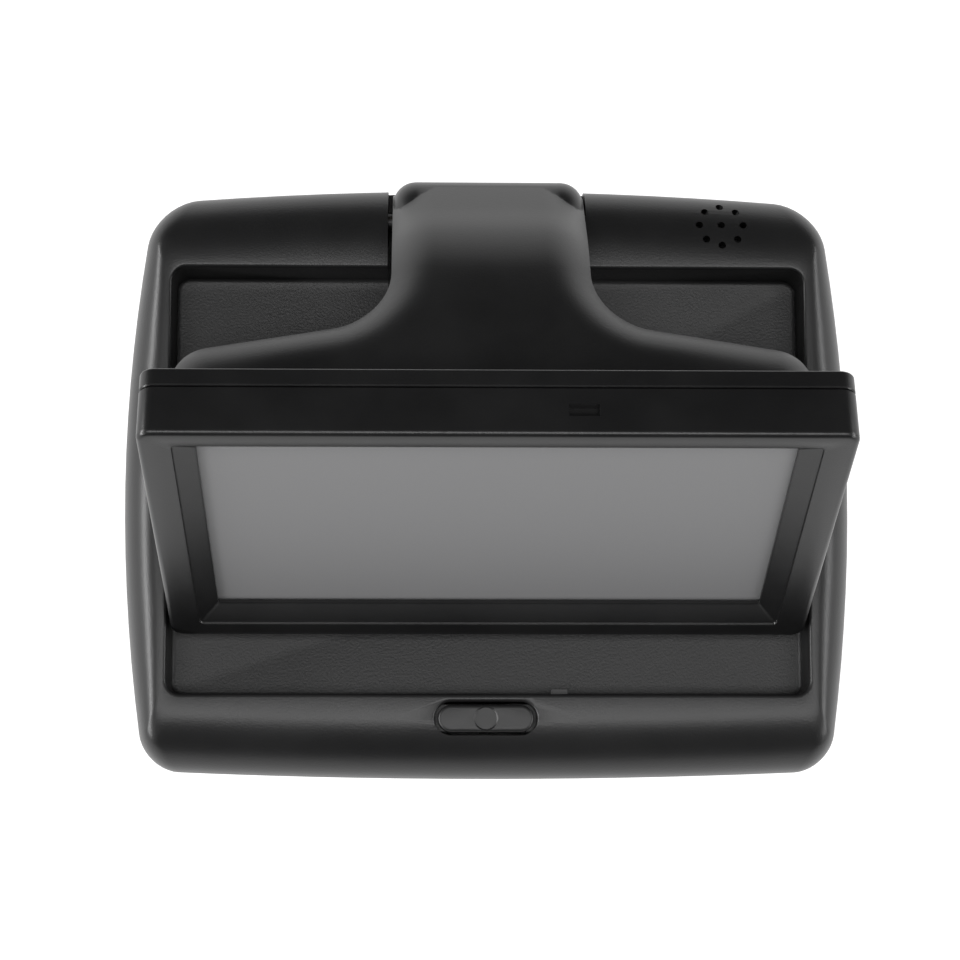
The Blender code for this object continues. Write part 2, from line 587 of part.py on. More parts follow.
def bottom_plate():
    inset = SKIRT_TUCK + BASE_WALL + GAP
    outline = base_outline(inset)
    plate = finish("bottom_plate", prism("bottom_plate", outline, PAD_PROUD, PLATE_TOP), GRAINED)
    pocket = rounded_box_outline((-PAD_WIDTH / 2 - GAP, -PAD_LENGTH / 2 - GAP),
                                 (PAD_WIDTH / 2 + GAP, PAD_LENGTH / 2 + GAP), PAD_CORNER)
    boolean(plate, cutter("pad_pocket", prism("pad_pocket", pocket, -OVERCUT, PAD_THICKNESS + GAP)))
    for i, (x, y) in enumerate(BOSS_PLACES):
        name = f"plate_hole_{i + 1}"
        head = PAD_PROUD + SCREW_HEAD_HEIGHT + GAP
        profile = [(0, 0), (SCREW_HEAD_RADIUS + GAP, 0), (SCREW_HEAD_RADIUS + GAP, head), (SCREW_RADIUS + GAP, head),
                   (SCREW_RADIUS + GAP, PLATE_TOP + OVERCUT), (0, PLATE_TOP + OVERCUT)]
        boolean(plate, cutter(name, turned(name, profile, Matrix.Translation((x, y, 0)), 16)))
        screw(f"base_screw_{i + 1}", (x, y, PAD_PROUD + GAP / 2), (x, y, PLATE_TOP + BASE_SCREW_REACH))
    return plate


def underside_and_insides():
    pad = rounded_box_outline((-PAD_WIDTH / 2, -PAD_LENGTH / 2), (PAD_WIDTH / 2, PAD_LENGTH / 2), PAD_CORNER - GAP)
    finish("adhesive_pad", prism("adhesive_pad", pad, 0, PAD_THICKNESS), FOAM)
    board_low = PLATE_TOP + GAP
    half = MAIN_BOARD_WIDTH / 2
    board = block("main_board", (-half, RECESS_FRONT + MAIN_BOARD_MARGIN, board_low),
                  (half, RECESS_REAR - MAIN_BOARD_MARGIN, board_low + BOARD_THICKNESS))
    finish("main_board", board, BOARD, smooth=False)
    foot = Vector((GRILLE_X, GRILLE_Y - BUZZER_SETBACK, PLATE_TOP + GAP))
    hole = BUZZER_RADIUS * 0.22
    sunk = BUZZER_HEIGHT - BUZZER_PORT_DEPTH
    profile = [(0, 0), (BUZZER_RADIUS, 0), (BUZZER_RADIUS, BUZZER_HEIGHT - BUZZER_EDGE),
               (BUZZER_RADIUS - BUZZER_EDGE, BUZZER_HEIGHT), (hole, BUZZER_HEIGHT), (hole, sunk), (0, sunk)]
    finish("buzzer", turned("buzzer", profile, Matrix.Translation(foot)), BUZZER_CASE)


def cable_inlet():
    """The rubber bush in the rear wall that a lead would enter by: it lies flush, with a groove for the wall."""
    inner = INLET - Vector((0, INLET_LENGTH, 0))
    place = Matrix.Translation(inner) @ Vector((0, 1, 0)).to_track_quat("Z", "Y").to_matrix().to_4x4()
    lip = INLET_RADIUS + 0.25 * MM + GAP
    seat = INLET_LENGTH - BASE_WALL - 2.8 * MM
    hole = INLET_RADIUS - INLET_BORE_WALL
    profile = [(hole, 0), (lip - 1.0 * MM, 0), (lip, seat - 1.4 * MM), (lip, seat), (INLET_RADIUS, seat),
               (INLET_RADIUS, INLET_LENGTH), (hole, INLET_LENGTH)]
    finish("cable_inlet_bush", turned("cable_inlet_bush", profile, place), RUBBER)


def arm_pin():
    reach = Vector((ARM_PIN_END, 0, 0))
    finish("arm_hinge_pin", rod("arm_hinge_pin", ARM_AXIS - reach, ARM_AXIS + reach, ARM_PIN_RADIUS), PLATED_STEEL)


# ---- Arm ----------------------------------------------------------------------------------------------
def lid_height(y):
    """The arm's back at this distance from its hinge: round the barrel, then straight between the points."""
    if y > LID_LINE[0][0]:
        return math.sqrt(BARREL_RADIUS ** 2 - y ** 2)
    for (y0, z0), (y1, z1) in zip(LID_LINE, LID_LINE[1:]):
        if y >= y1:
            return z0 + (z1 - z0) * (y0 - y) / (y0 - y1)
    return LID_LINE[-1][1]


def underside_height(y):
    """The arm's underside: level over the shut screen, then down to the hinge barrel."""
    run = min(max((y - UNDERSIDE_DROP_START) / UNDERSIDE_DROP_LENGTH, 0), 1)
    return ARM_UNDERSIDE + run * (-BARREL_RADIUS * 0.35 - ARM_UNDERSIDE)


def arm_body(name, inset, wall, low_gap):
    """The T bent to the lid line, its upper edges rounded; drawn in by inset and kept wall below the back."""
    drop = ARM_EDGE_DROP - wall
    levels = [(0, 0), (0, 1)]
    for step in range(1, ARM_EDGE_STEPS + 1):
        share = step / ARM_EDGE_STEPS
        levels.append(((ARM_EDGE_WIDTH - wall) * share, 2 - (1 - share) ** 2))
    outlines = [arm_outline(inset + extra) for extra, _ in levels]
    bm = bmesh.new()
    stack = [[bm.verts.new((x, y, level)) for x, y in outline] for outline, (_, level) in zip(outlines, levels)]
    count = len(outlines[0])
    for lower, upper in zip(stack, stack[1:]):
        for i in range(count):
            j = (i + 1) % count
            bm.faces.new((lower[i], lower[j], upper[j], upper[i]))
    bm.faces.new(list(reversed(stack[0])))
    bm.faces.new(stack[-1])
    for y, _ in LID_LINE[:-1] + [(0, 0), (5.6 * MM, 0), (-5 * MM, 0), (-9.5 * MM, 0), (-17 * MM, 0)]:
        everything = bm.verts[:] + bm.edges[:] + bm.faces[:]
        bmesh.ops.bisect_plane(bm, geom=everything, dist=1e-7, plane_co=(0, y, 0), plane_no=(0, 1, 0))
    for vert in bm.verts:
        y, level = vert.co.y, vert.co.z
        if level < 0.5:
            vert.co.z = underside_height(y) - low_gap
        else:
            vert.co.z = lid_height(y) - wall - drop * (2 - level)
    return to_mesh(name, bm)


def arm(pivot):
    shell = finish("arm_shell", arm_body("arm_shell", 0, 0, 0), SATIN, pivot)
    half = Vector((NECK_HALF_WIDTH, 0, 0))
    barrel = rod("arm_barrel", -half, half, BARREL_RADIUS, 32, bevel=ARM_EDGE_DROP)
    boolean(shell, cutter("arm_barrel", barrel, pivot), "UNION")

    pocket = cutter("arm_pocket", arm_body("arm_pocket", ARM_WALL, ARM_WALL, OVERCUT), pivot)
    wide = BAR_HALF_WIDTH + OVERCUT
    front_stop = block("pocket_front_stop", (-wide, BAR_FRONT - OVERCUT, -wide), (wide, ARM_HOLLOW_FRONT, wide))
    rear_stop = block("pocket_rear_stop", (-wide, NECK_HOLLOW_END, -wide), (wide, wide, wide))
    boolean(pocket, cutter("pocket_front_stop", front_stop, pivot))
    boolean(pocket, cutter("pocket_rear_stop", rear_stop, pivot))
    for i, (x, y) in enumerate(ARM_SCREWS):
        name = f"arm_boss_{i + 1}"
        boss = rod(name, (x, y, ARM_UNDERSIDE + UNDER_COVER_THICKNESS + GAP), (x, y, ARM_UNDERSIDE + 30 * MM),
                   ARM_BOSS_RADIUS, 16)
        boolean(pocket, cutter(name, boss, pivot))
    boolean(shell, pocket)

    bore = rod("arm_bore", -2 * half, 2 * half, SLEEVE_RADIUS + GAP)
    boolean(shell, cutter("arm_bore", bore, pivot))
    for i, (x, y) in enumerate(ARM_SCREWS):
        name = f"arm_screw_hole_{i + 1}"
        top = ARM_UNDERSIDE + ARM_SCREW_REACH
        hole = rod(name, (x, y, ARM_UNDERSIDE - OVERCUT), (x, y, top + GAP), SCREW_RADIUS + GAP, 16)
        boolean(shell, cutter(name, hole, pivot))
        screw(f"arm_screw_{i + 1}", (x, y, ARM_UNDERSIDE + GAP / 2), (x, y, top), pivot)
    for side, word in ((-1, "left"), (1, "right")):
        ear_notch(shell, side, word, pivot)
        finish(f"screen_hinge_pin_{word}", rod(f"screen_hinge_pin_{word}", *screen_pin_ends(side), SCREEN_PIN_RADIUS,
                                               20), PLATED_STEEL, pivot)
    under_cover(pivot)
    sleeve = ring_mesh("arm_hinge_sleeve", -half, half, SLEEVE_RADIUS, ARM_PIN_RADIUS + GAP)
    finish("arm_hinge_sleeve", sleeve, BRASS, pivot)


def screen_pin_ends(side, beyond=0.0):
    reach = EAR_WIDTH / 2 + SCREEN_PIN_BEYOND_EAR + beyond
    return [SCREEN_AXIS_ON_ARM + Vector((side * (EAR_CENTRE + sign * reach), 0, 0)) for sign in (-1, 1)]


def ear_notch(shell, side, word, pivot):
    """The gap in the bar that a screen ear turns in, and the bore that holds the ear's pin."""
    half = EAR_WIDTH / 2 + EAR_GAP
    centre = SCREEN_AXIS_ON_ARM.y
    name = f"ear_notch_{word}"
    reach = EAR_RADIUS + EAR_GAP
    notch = block(name, (side * EAR_CENTRE - half, BAR_FRONT - OVERCUT, ARM_UNDERSIDE - OVERCUT),
                  (side * EAR_CENTRE + half, centre + reach, lid_height(BAR_FRONT) + OVERCUT))
    boolean(shell, cutter(name, notch, pivot))
    name = f"screen_pin_bore_{word}"
    boolean(shell, cutter(name, rod(name, *screen_pin_ends(side, GAP), SCREEN_PIN_RADIUS + GAP), pivot))


def under_cover(pivot):
    """The plate that closes the arm's hollow from below."""
    inset = ARM_WALL + GAP
    cover = finish("arm_under_cover", prism("arm_under_cover", arm_outline(inset), ARM_UNDERSIDE,
                                            ARM_UNDERSIDE + UNDER_COVER_THICKNESS), SATIN, pivot)
    wide = BAR_HALF_WIDTH + OVERCUT
    boolean(cover, cutter("cover_front_trim", block("cover_front_trim", (-wide, BAR_FRONT - OVERCUT, -wide),
                                                    (wide, ARM_HOLLOW_FRONT + GAP, wide)), pivot))
    boolean(cover, cutter("cover_rear_trim", block("cover_rear_trim", (-wide, NECK_HOLLOW_END - GAP, -wide),
                                                   (wide, wide, wide)), pivot))
    for i, (x, y) in enumerate(ARM_SCREWS):
        name = f"under_cover_hole_{i + 1}"
        seat = ARM_UNDERSIDE + GAP / 2 + SCREW_HEAD_HEIGHT + GAP
        profile = [(0, -OVERCUT), (SCREW_HEAD_RADIUS + GAP, -OVERCUT), (SCREW_HEAD_RADIUS + GAP, seat),
                   (SCREW_RADIUS + GAP, seat), (SCREW_RADIUS + GAP, seat + 2 * OVERCUT), (0, seat + 2 * OVERCUT)]
        boolean(cover, cutter(name, turned(name, profile, Matrix.Translation((x, y, 0)), 16), pivot))


# ---- Screen -------------------------------------------------------------------------------------------
def screen_outline(inset=0.0):
    half = SCREEN_WIDTH / 2 - inset
    return rounded_box_outline((-half, SCREEN_TOP + inset), (half, SCREEN_BOTTOM - inset),
                               max(SCREEN_CORNER - inset, 0.5 * MM), 4)


def at(outline, z):
    return [(x, y, z) for x, y in outline]


def front_shell(pivot):
    rings = [at(screen_outline(FRONT_EDGE), FACE_Z), at(screen_outline(), FACE_Z + FRONT_EDGE),
             at(screen_outline(), SEAM_Z)]
    shell = finish("screen_front_shell", loft("screen_front_shell", rings), BEZEL, pivot)
    half_w = WINDOW_WIDTH / 2
    slope = BEZEL_SLOPE
    window = [(-half_w, WINDOW_TOP), (half_w, WINDOW_TOP), (half_w, WINDOW_BOTTOM), (-half_w, WINDOW_BOTTOM)]
    flared = [(x + math.copysign(slope, x), y + (slope if y > WINDOW_TOP + 1e-6 else -slope)) for x, y in window]
    past = OVERCUT / WINDOW_DEPTH
    mouth = [(x + (fx - x) * (1 + past), y + (fy - y) * (1 + past)) for (x, y), (fx, fy) in zip(window, flared)]
    opening = [at(mouth, FACE_Z - OVERCUT), at(window, FACE_Z + WINDOW_DEPTH), at(window, FACE_Z + 3 * WINDOW_DEPTH)]
    boolean(shell, cutter("bezel_opening", loft("bezel_opening", opening), pivot))
    hollow = cutter("front_hollow", prism("front_hollow", screen_outline(SCREEN_WALL), GLASS_Z, SEAM_Z + OVERCUT),
                    pivot)
    for i, (x, y) in enumerate(SCREEN_SCREWS):
        name = f"screen_boss_{i + 1}"
        boss = rod(name, (x, y, GLASS_Z - 1 * MM), (x, y, SEAM_Z - BOSS_SHORT), ARM_BOSS_RADIUS, 16)
        boolean(hollow, cutter(name, boss, pivot))
    boolean(shell, hollow)
    for i, (x, y) in enumerate(SCREEN_SCREWS):
        name = f"screen_screw_hole_{i + 1}"
        hole = rod(name, (x, y, BACK_Z - SCREEN_SCREW_REACH - GAP), (x, y, SEAM_Z + OVERCUT), SCREW_RADIUS + GAP, 16)
        boolean(shell, cutter(name, hole, pivot))
    notch_z = FACE_Z + NOTCH_FROM_FACE
    notch = block("latch_notch", (NOTCH_X - NOTCH_WIDTH / 2, SCREEN_TOP - OVERCUT, notch_z - NOTCH_HEIGHT / 2),
                  (NOTCH_X + NOTCH_WIDTH / 2, SCREEN_TOP + NOTCH_DEPTH, notch_z + NOTCH_HEIGHT / 2))
    boolean(shell, cutter("latch_notch", notch, pivot))


def rear_shell(pivot):
    edge = REAR_EDGE
    low = SEAM_Z + PARTING_GAP
    rings = [at(screen_outline(0), low), at(screen_outline(0), BACK_Z - edge),
             at(screen_outline(0.3 * edge), BACK_Z - 0.3 * edge), at(screen_outline(edge), BACK_Z)]
    shell = finish("screen_rear_shell", loft("screen_rear_shell", rings), SATIN, pivot)
    hollow = cutter("rear_hollow", prism("rear_hollow", screen_outline(SCREEN_WALL), low - OVERCUT,
                                         BACK_Z - REAR_WALL), pivot)
    for i, (x, y) in enumerate(SCREEN_SCREWS):
        name = f"rear_boss_{i + 1}"
        boss = rod(name, (x, y, low + BOSS_SHORT), (x, y, BACK_Z), SCREEN_BOSS_RADIUS, 16)
        boolean(hollow, cutter(name, boss, pivot))
    boolean(shell, hollow)
    for side, word in ((-1, "left"), (1, "right")):
        x0, x1 = side * EAR_CENTRE - EAR_WIDTH / 2, side * EAR_CENTRE + EAR_WIDTH / 2
        name = f"screen_ear_{word}"
        arc = [(EAR_RADIUS * math.cos(a), EAR_RADIUS * math.sin(a))
               for a in (math.pi * step / 12 for step in range(13))]
        foot = BACK_Z - 1.0 * MM
        half = EAR_RADIUS + EAR_FOOT_SPREAD
        profile = arc + [(-half, foot), (half, foot)]
        boolean(shell, cutter(name, slab_x(name, profile, x0, x1), pivot), "UNION")
        name = f"screen_ear_bore_{word}"
        bore = rod(name, (x0 - OVERCUT, 0, 0), (x1 + OVERCUT, 0, 0), BUSH_RADIUS + GAP)
        boolean(shell, cutter(name, bore, pivot))
        name = f"screen_hinge_bush_{word}"
        bush = ring_mesh(name, (x0, 0, 0), (x1, 0, 0), BUSH_RADIUS, SCREEN_PIN_RADIUS + GAP)
        finish(name, bush, BRASS, pivot)
    for i, (x, y) in enumerate(SCREEN_SCREWS):
        name = f"rear_shell_hole_{i + 1}"
        head = SCREW_HEAD_HEIGHT + 2 * GAP
        profile = [(0, low - 2 * OVERCUT - BACK_Z), (SCREW_RADIUS + GAP, low - 2 * OVERCUT - BACK_Z),
                   (SCREW_RADIUS + GAP, -head), (SCREW_HEAD_RADIUS + GAP, -head),
                   (SCREW_HEAD_RADIUS + GAP, OVERCUT), (0, OVERCUT)]
        boolean(shell, cutter(name, turned(name, profile, Matrix.Translation((x, y, BACK_Z)), 16), pivot))
        screw(f"screen_screw_{i + 1}", (x, y, BACK_Z - GAP), (x, y, BACK_Z - SCREEN_SCREW_REACH), pivot)


def display_stack(pivot):
    """Behind the window: the display's front glass, its backlit panel and the driver board."""
    low = (-WINDOW_WIDTH / 2 - PANEL_MARGIN, WINDOW_TOP - PANEL_MARGIN)
    high = (WINDOW_WIDTH / 2 + PANEL_MARGIN, WINDOW_BOTTOM + PANEL_MARGIN)
    z = GLASS_Z + GAP
    for name, thickness, shade in (("display_glass", GLASS_THICKNESS, DISPLAY),
                                   ("backlit_panel", PANEL_THICKNESS, BACKLIGHT)):
        finish(name, block(name, (*low, z), (*high, z + thickness)), shade, pivot, smooth=False)
        z += thickness + GAP
    half = DRIVER_BOARD_WIDTH / 2
    board = block("driver_board", (-half, WINDOW_TOP + DRIVER_BOARD_MARGIN, z),
                  (half, WINDOW_BOTTOM - DRIVER_BOARD_MARGIN, z + BOARD_THICKNESS))
    finish("driver_board", board, BOARD, pivot, smooth=False)


# ---- Release button and latch ------------------------------------------------------------------------
def release_button():
    """The cap with its round dish, and below it the flange, the spring's stem and the leg that moves the latch."""
    x, y = BUTTON_CENTRE[0], BUTTON_Y
    inside_cap = FLANGE_HIGH + BUTTON_TRAVEL
    crown = BUTTON_CROWN
    rings = [at(stadium((x, y), BUTTON_LENGTH, BUTTON_WIDTH), (FLANGE_LOW + FLANGE_HIGH) / 2),
             at(stadium((x, y), BUTTON_LENGTH, BUTTON_WIDTH), RIM_HEIGHT - crown),
             at(stadium((x, y), BUTTON_LENGTH - 2 * crown, BUTTON_WIDTH - 2 * crown), RIM_HEIGHT)]
    button = finish("release_button", loft("release_button", rings), SATIN)
    flange = block("button_flange", (x - FLANGE_HALF, y + BUTTON_FLANGE[0], FLANGE_LOW),
                   (x + FLANGE_HALF, y + BUTTON_FLANGE[1], FLANGE_HIGH))
    boolean(button, cutter("button_flange", flange), "UNION")
    stem = rod("button_stem", (x, y, STEM_FOOT), (x, y, inside_cap), STEM_RADIUS, 16)
    boolean(button, cutter("button_stem", stem), "UNION")
    leg = block("button_leg", (LEG_X - LEG_HALF, y - LEG_HALF_LENGTH, LATCH_Z - LEG_BELOW_LATCH),
                (LEG_X + LEG_HALF, y + LEG_HALF_LENGTH, inside_cap), bevel=GAP)
    boolean(button, cutter("button_leg", leg), "UNION")
    dish = rod("button_dish", (x, y, RIM_HEIGHT - BUTTON_DISH_DEPTH), (x, y, RIM_HEIGHT + OVERCUT),
               BUTTON_DISH_RADIUS, 24, end_radius=BUTTON_DISH_RADIUS + OVERCUT)
    boolean(button, cutter("button_dish", dish))
    coil("button_spring", (x, y, PLATE_TOP + GAP), (x, y, STEM_FOOT - GAP), 1.9 * MM, 0.25 * MM, 4, PLATED_STEEL)


def latch():
    """The slider that the button's leg draws forward, with the hook that holds the shut screen."""
    low, high = LATCH_Z - LATCH_THICKNESS / 2, LATCH_Z + LATCH_THICKNESS / 2
    rear = RECESS_FRONT - TUB_WALL - GAP
    front = BUTTON_Y - LATCH_FRONT_LAND
    tip = RECESS_FRONT + LATCH_REACH
    left = LEG_X - LEG_HALF - LATCH_SIDE_LAND
    hook_left, hook_right = LATCH_X - LATCH_WIDTH / 2, LATCH_X + LATCH_WIDTH / 2
    outline = filleted([(left, front, 2 * GAP), (hook_right, front, 2 * GAP), (hook_right, tip, GAP),
                        (hook_left, tip, GAP), (hook_left, rear, 0), (left, rear, 2 * GAP)], 3)
    slider = finish("latch_slider", prism("latch_slider", outline, low, high), SATIN)
    window = block("leg_window", (LEG_X - LEG_HALF - GAP, BUTTON_Y - LEG_HALF_LENGTH - GAP, low - OVERCUT),
                   (LEG_X + LEG_HALF + GAP, BUTTON_Y + LEG_HALF_LENGTH + BUTTON_TRAVEL + GAP, high + OVERCUT))
    boolean(slider, cutter("leg_window", window))
    spring_rear = Vector((LATCH_X, front - GAP, LATCH_Z - LATCH_SPRING_DROP))
    coil("latch_spring", spring_rear - Vector((0, LATCH_SPRING_LENGTH, 0)), spring_rear, 0.85 * MM, 0.15 * MM, 2,
         PLATED_STEEL)


def pivot_empty(name, place, turn):
    empty = bpy.data.objects.new(name, None)
    PARTS.objects.link(empty)
    empty.location = place
    empty.rotation_euler = (turn, 0, 0)
    return empty


def main():
    base_cover()
    bottom_plate()
    underside_and_insides()
    cable_inlet()
    arm_pin()
    release_button()
    latch()
    lift = Matrix.Rotation(-ARM_OPEN, 4, "X")
    arm(pivot_empty("arm_pivot", ARM_AXIS, -ARM_OPEN))
    screen_pivot = pivot_empty("screen_pivot", ARM_AXIS + lift @ SCREEN_AXIS_ON_ARM, -math.pi / 2 - SCREEN_LEAN)
    front_shell(screen_pivot)
    rear_shell(screen_pivot)
    display_stack(screen_pivot)


main()
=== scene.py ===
"""Looks of the fold-flat dashboard display: finer shells, moulded plastics, studio light and camera."""

import json
import math

import bmesh
import bpy
from mathutils import Matrix, Vector

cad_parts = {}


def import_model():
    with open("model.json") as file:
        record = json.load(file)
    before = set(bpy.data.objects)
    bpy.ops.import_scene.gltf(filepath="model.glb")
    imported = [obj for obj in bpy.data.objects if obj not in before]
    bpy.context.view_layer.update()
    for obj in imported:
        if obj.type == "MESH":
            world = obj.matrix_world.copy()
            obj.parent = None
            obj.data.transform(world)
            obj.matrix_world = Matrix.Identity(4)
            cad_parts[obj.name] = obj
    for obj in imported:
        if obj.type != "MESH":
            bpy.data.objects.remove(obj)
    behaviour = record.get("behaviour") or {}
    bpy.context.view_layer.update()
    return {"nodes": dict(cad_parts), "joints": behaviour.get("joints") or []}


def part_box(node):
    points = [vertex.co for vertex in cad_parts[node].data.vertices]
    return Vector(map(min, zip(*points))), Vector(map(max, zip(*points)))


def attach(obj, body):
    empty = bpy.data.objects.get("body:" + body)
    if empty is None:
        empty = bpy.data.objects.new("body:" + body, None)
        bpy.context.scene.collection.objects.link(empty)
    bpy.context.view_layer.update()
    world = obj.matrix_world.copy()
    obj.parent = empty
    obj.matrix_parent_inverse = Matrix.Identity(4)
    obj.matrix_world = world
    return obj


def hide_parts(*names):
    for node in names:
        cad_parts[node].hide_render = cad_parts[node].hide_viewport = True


MM = 0.001

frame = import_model()
NODES = frame["nodes"]
JOINTS = {joint["name"]: joint for joint in frame["joints"]}


# ---- Places read from the frame -----------------------------------------------------------------------
def node_box(name):
    low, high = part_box(name)
    return Vector(low), Vector(high)


def node_middle(name):
    low, high = node_box(name)
    return (low + high) / 2


BASE_LOW, BASE_HIGH = node_box("base_cover")
BASE_HALF_WIDTH = (BASE_HIGH.x - BASE_LOW.x) / 2
BASE_HALF_DEPTH = (BASE_HIGH.y - BASE_LOW.y) / 2
RIM_TOP = BASE_HIGH.z
SKIRT_FOOT = BASE_LOW.z
ARM_AXIS = Vector(JOINTS["arm_hinge"]["pos_m"])
SCREEN_AXIS = Vector(JOINTS["screen_hinge"]["pos_m"])
BUTTON_LOW, BUTTON_HIGH = node_box("release_button")
BUTTON_MIDDLE = node_middle("release_button")
LATCH_LOW, LATCH_HIGH = node_box("latch_slider")
INLET_MIDDLE = node_middle("cable_inlet_bush")
INLET_REAR = node_box("cable_inlet_bush")[1].y

# ---- Sizes of the moulded shapes ----------------------------------------------------------------------
SCREEN_WIDTH = 112.6 * MM
SCREEN_HEIGHT = 70.3 * MM
SCREEN_DEPTH = 12.1 * MM
RECESS_HALF_WIDTH = 56.9 * MM
RECESS_FLOOR = 6.5 * MM
ARM_OPEN = math.radians(24.0)
SCREEN_LEAN = math.radians(21.8)
TO_ARM = Matrix.Translation(ARM_AXIS) @ Matrix.Rotation(-ARM_OPEN, 4, "X")
TO_SCREEN = Matrix.Translation(SCREEN_AXIS) @ Matrix.Rotation(-math.pi / 2 - SCREEN_LEAN, 4, "X")


# ---- Mesh helpers -------------------------------------------------------------------------------------
def new_piece(name, bm, material, body=None, place=None, sharp=30):
    """Makes the finished object of a bmesh, its place in its mesh."""
    bmesh.ops.remove_doubles(bm, verts=bm.verts[:], dist=0.002 * MM)
    bmesh.ops.recalc_face_normals(bm, faces=bm.faces[:])
    if place is not None:
        bmesh.ops.transform(bm, matrix=place, verts=bm.verts[:])
    mesh = bpy.data.meshes.new(name)
    bm.to_mesh(mesh)
    bm.free()
    mesh.shade_smooth()
    mesh.set_sharp_from_angle(angle=math.radians(sharp))
    obj = bpy.data.objects.new(name, mesh)
    bpy.context.scene.collection.objects.link(obj)
    if material is not None:
        mesh.materials.append(material)
    if body:
        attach(obj, body)
    return obj


def apply_cuts(piece, cuts, sharp=30):
    """Cuts or joins each (bmesh, operation) on the piece and leaves the result as its mesh."""
    helpers = []
    for i, (bm, operation) in enumerate(cuts):
        bmesh.ops.recalc_face_normals(bm, faces=bm.faces[:])
        mesh = bpy.data.meshes.new(f"{piece.name}_cut_{i}")
        bm.to_mesh(mesh)
        bm.free()
        helper = bpy.data.objects.new(mesh.name, mesh)
        bpy.context.scene.collection.objects.link(helper)
        helpers.append(helper)
        modifier = piece.modifiers.new(f"cut_{i}", "BOOLEAN")
        modifier.operation = operation
        modifier.solver = "EXACT"
        modifier.object = helper
    bpy.context.view_layer.update()
    shaped = bpy.data.meshes.new_from_object(piece.evaluated_get(bpy.context.evaluated_depsgraph_get()))
    piece.modifiers.clear()
    old = piece.data
    piece.data = shaped
    shaped.name = piece.name
    bpy.data.meshes.remove(old)
    for helper in helpers:
        bpy.data.objects.remove(helper, do_unlink=True)
    shaped.shade_smooth()
    shaped.set_sharp_from_angle(angle=math.radians(sharp))
    return piece


def filleted(corners, steps=10):
    """The outline through (x, y, radius) corners, each rounded by an arc that touches both its sides."""
    points = []
    for i, (x, y, radius) in enumerate(corners):
        corner = Vector((x, y))
        before = (Vector(corners[i - 1][:2]) - corner).normalized()
        after = (Vector(corners[(i + 1) % len(corners)][:2]) - corner).normalized()
        half = before.angle(after) / 2
        if radius <= 0 or math.pi / 2 - half < 1e-3:
            points.append(corner)
            continue
        start = corner + before * radius / math.tan(half)
        centre = corner + (before + after).normalized() * radius / math.sin(half)
        turn = (start - centre).angle_signed(corner + after * radius / math.tan(half) - centre)
        for step in range(steps + 1):
            spoke = (start - centre).copy()
            spoke.rotate(Matrix.Rotation(-turn * step / steps, 2))
            points.append(centre + spoke)
    return points


def rounded_rectangle(low, high, radius, steps=10):
    (x0, y0), (x1, y1) = low, high
    return filleted([(x0, y0, radius), (x1, y0, radius), (x1, y1, radius), (x0, y1, radius)], steps)


def at(outline, z):
    return [Vector((x, y, z)) for x, y in outline]


def grown(rings, ring_closed=False):
    """A solid grown from its first ring by extruding the ring's edges to each next ring and filling the ends."""
    bm = bmesh.new()
    verts = [bm.verts.new(point) for point in rings[0]]
    edges = [bm.edges.new(pair) for pair in zip(verts, verts[1:] + verts[:1])]
    if not ring_closed:
        bm.faces.new(verts)
    for ring in rings[1:] + (rings[:1] if ring_closed else []):
        out = bmesh.ops.extrude_edge_only(bm, edges=edges)["geom"]
        fresh = {item for item in out if isinstance(item, bmesh.types.BMVert)}
        verts = [next(edge.other_vert(vert) for edge in vert.link_edges if edge.other_vert(vert) in fresh)
                 for vert in verts]
        edges = [item for item in out if isinstance(item, bmesh.types.BMEdge) and set(item.verts) <= fresh]
        for vert, point in zip(verts, ring):
            vert.co = point
    if not ring_closed:
        bm.faces.new(verts)
    bmesh.ops.remove_doubles(bm, verts=bm.verts[:], dist=0.001 * MM)
    bmesh.ops.recalc_face_normals(bm, faces=bm.faces[:])
    return bm


def cylinder(start, end, radius, segments=32, end_radius=None, round_over=0.0, rounds=3):
    start, end = Vector(start), Vector(end)
    run = end - start
    bm = bmesh.new()
    place = Matrix.Translation((start + end) / 2) @ run.to_track_quat("Z", "Y").to_matrix().to_4x4()
    bmesh.ops.create_cone(bm, cap_ends=True, segments=segments, radius1=radius,
                          radius2=radius if end_radius is None else end_radius, depth=run.length, matrix=place)
    if round_over:
        rims = [edge for edge in bm.edges if any(len(face.verts) > 4 for face in edge.link_faces)]
        bmesh.ops.bevel(bm, geom=rims, offset=round_over, segments=rounds, profile=0.5, affect="EDGES",
                        material=-1)
    return bm


def box(low, high, round_over=0.0, rounds=2):
    low, high = Vector(low), Vector(high)
    bm = bmesh.new()
    place = Matrix.Translation((low + high) / 2) @ Matrix.Diagonal((*(high - low), 1))
    bmesh.ops.create_cube(bm, size=1, matrix=place)
    if round_over:
        bmesh.ops.bevel(bm, geom=bm.edges[:], offset=round_over, segments=rounds, profile=0.5, affect="EDGES",
                        material=-1)
    return bm


def turned(profile, place, segments=32):
    """A profile of (radius, height) points spun about Z; a profile that starts off the axis is a ring."""
    bm = bmesh.new()
    verts = [bm.verts.new((radius, 0, height)) for radius, height in profile]
    edges = [bm.edges.new(pair) for pair in zip(verts, verts[1:])]
    if profile[0][0] > 0:
        edges.append(bm.edges.new((verts[-1], verts[0])))
    bmesh.ops.spin(bm, geom=verts + edges, cent=(0, 0, 0), axis=(0, 0, 1), angle=math.tau, steps=segments,
                   use_merge=True)
    bmesh.ops.remove_doubles(bm, verts=bm.verts[:], dist=0.001 * MM)
    bmesh.ops.recalc_face_normals(bm, faces=bm.faces[:])
    bmesh.ops.transform(bm, matrix=place, verts=bm.verts[:])
    return bm


def copy_of(piece):
    bm = bmesh.new()
    bm.from_mesh(piece.data)
    return bm


# ---- Shader helpers -----------------------------------------------------------------------------------
SURFACE_GLOSS = 0.34


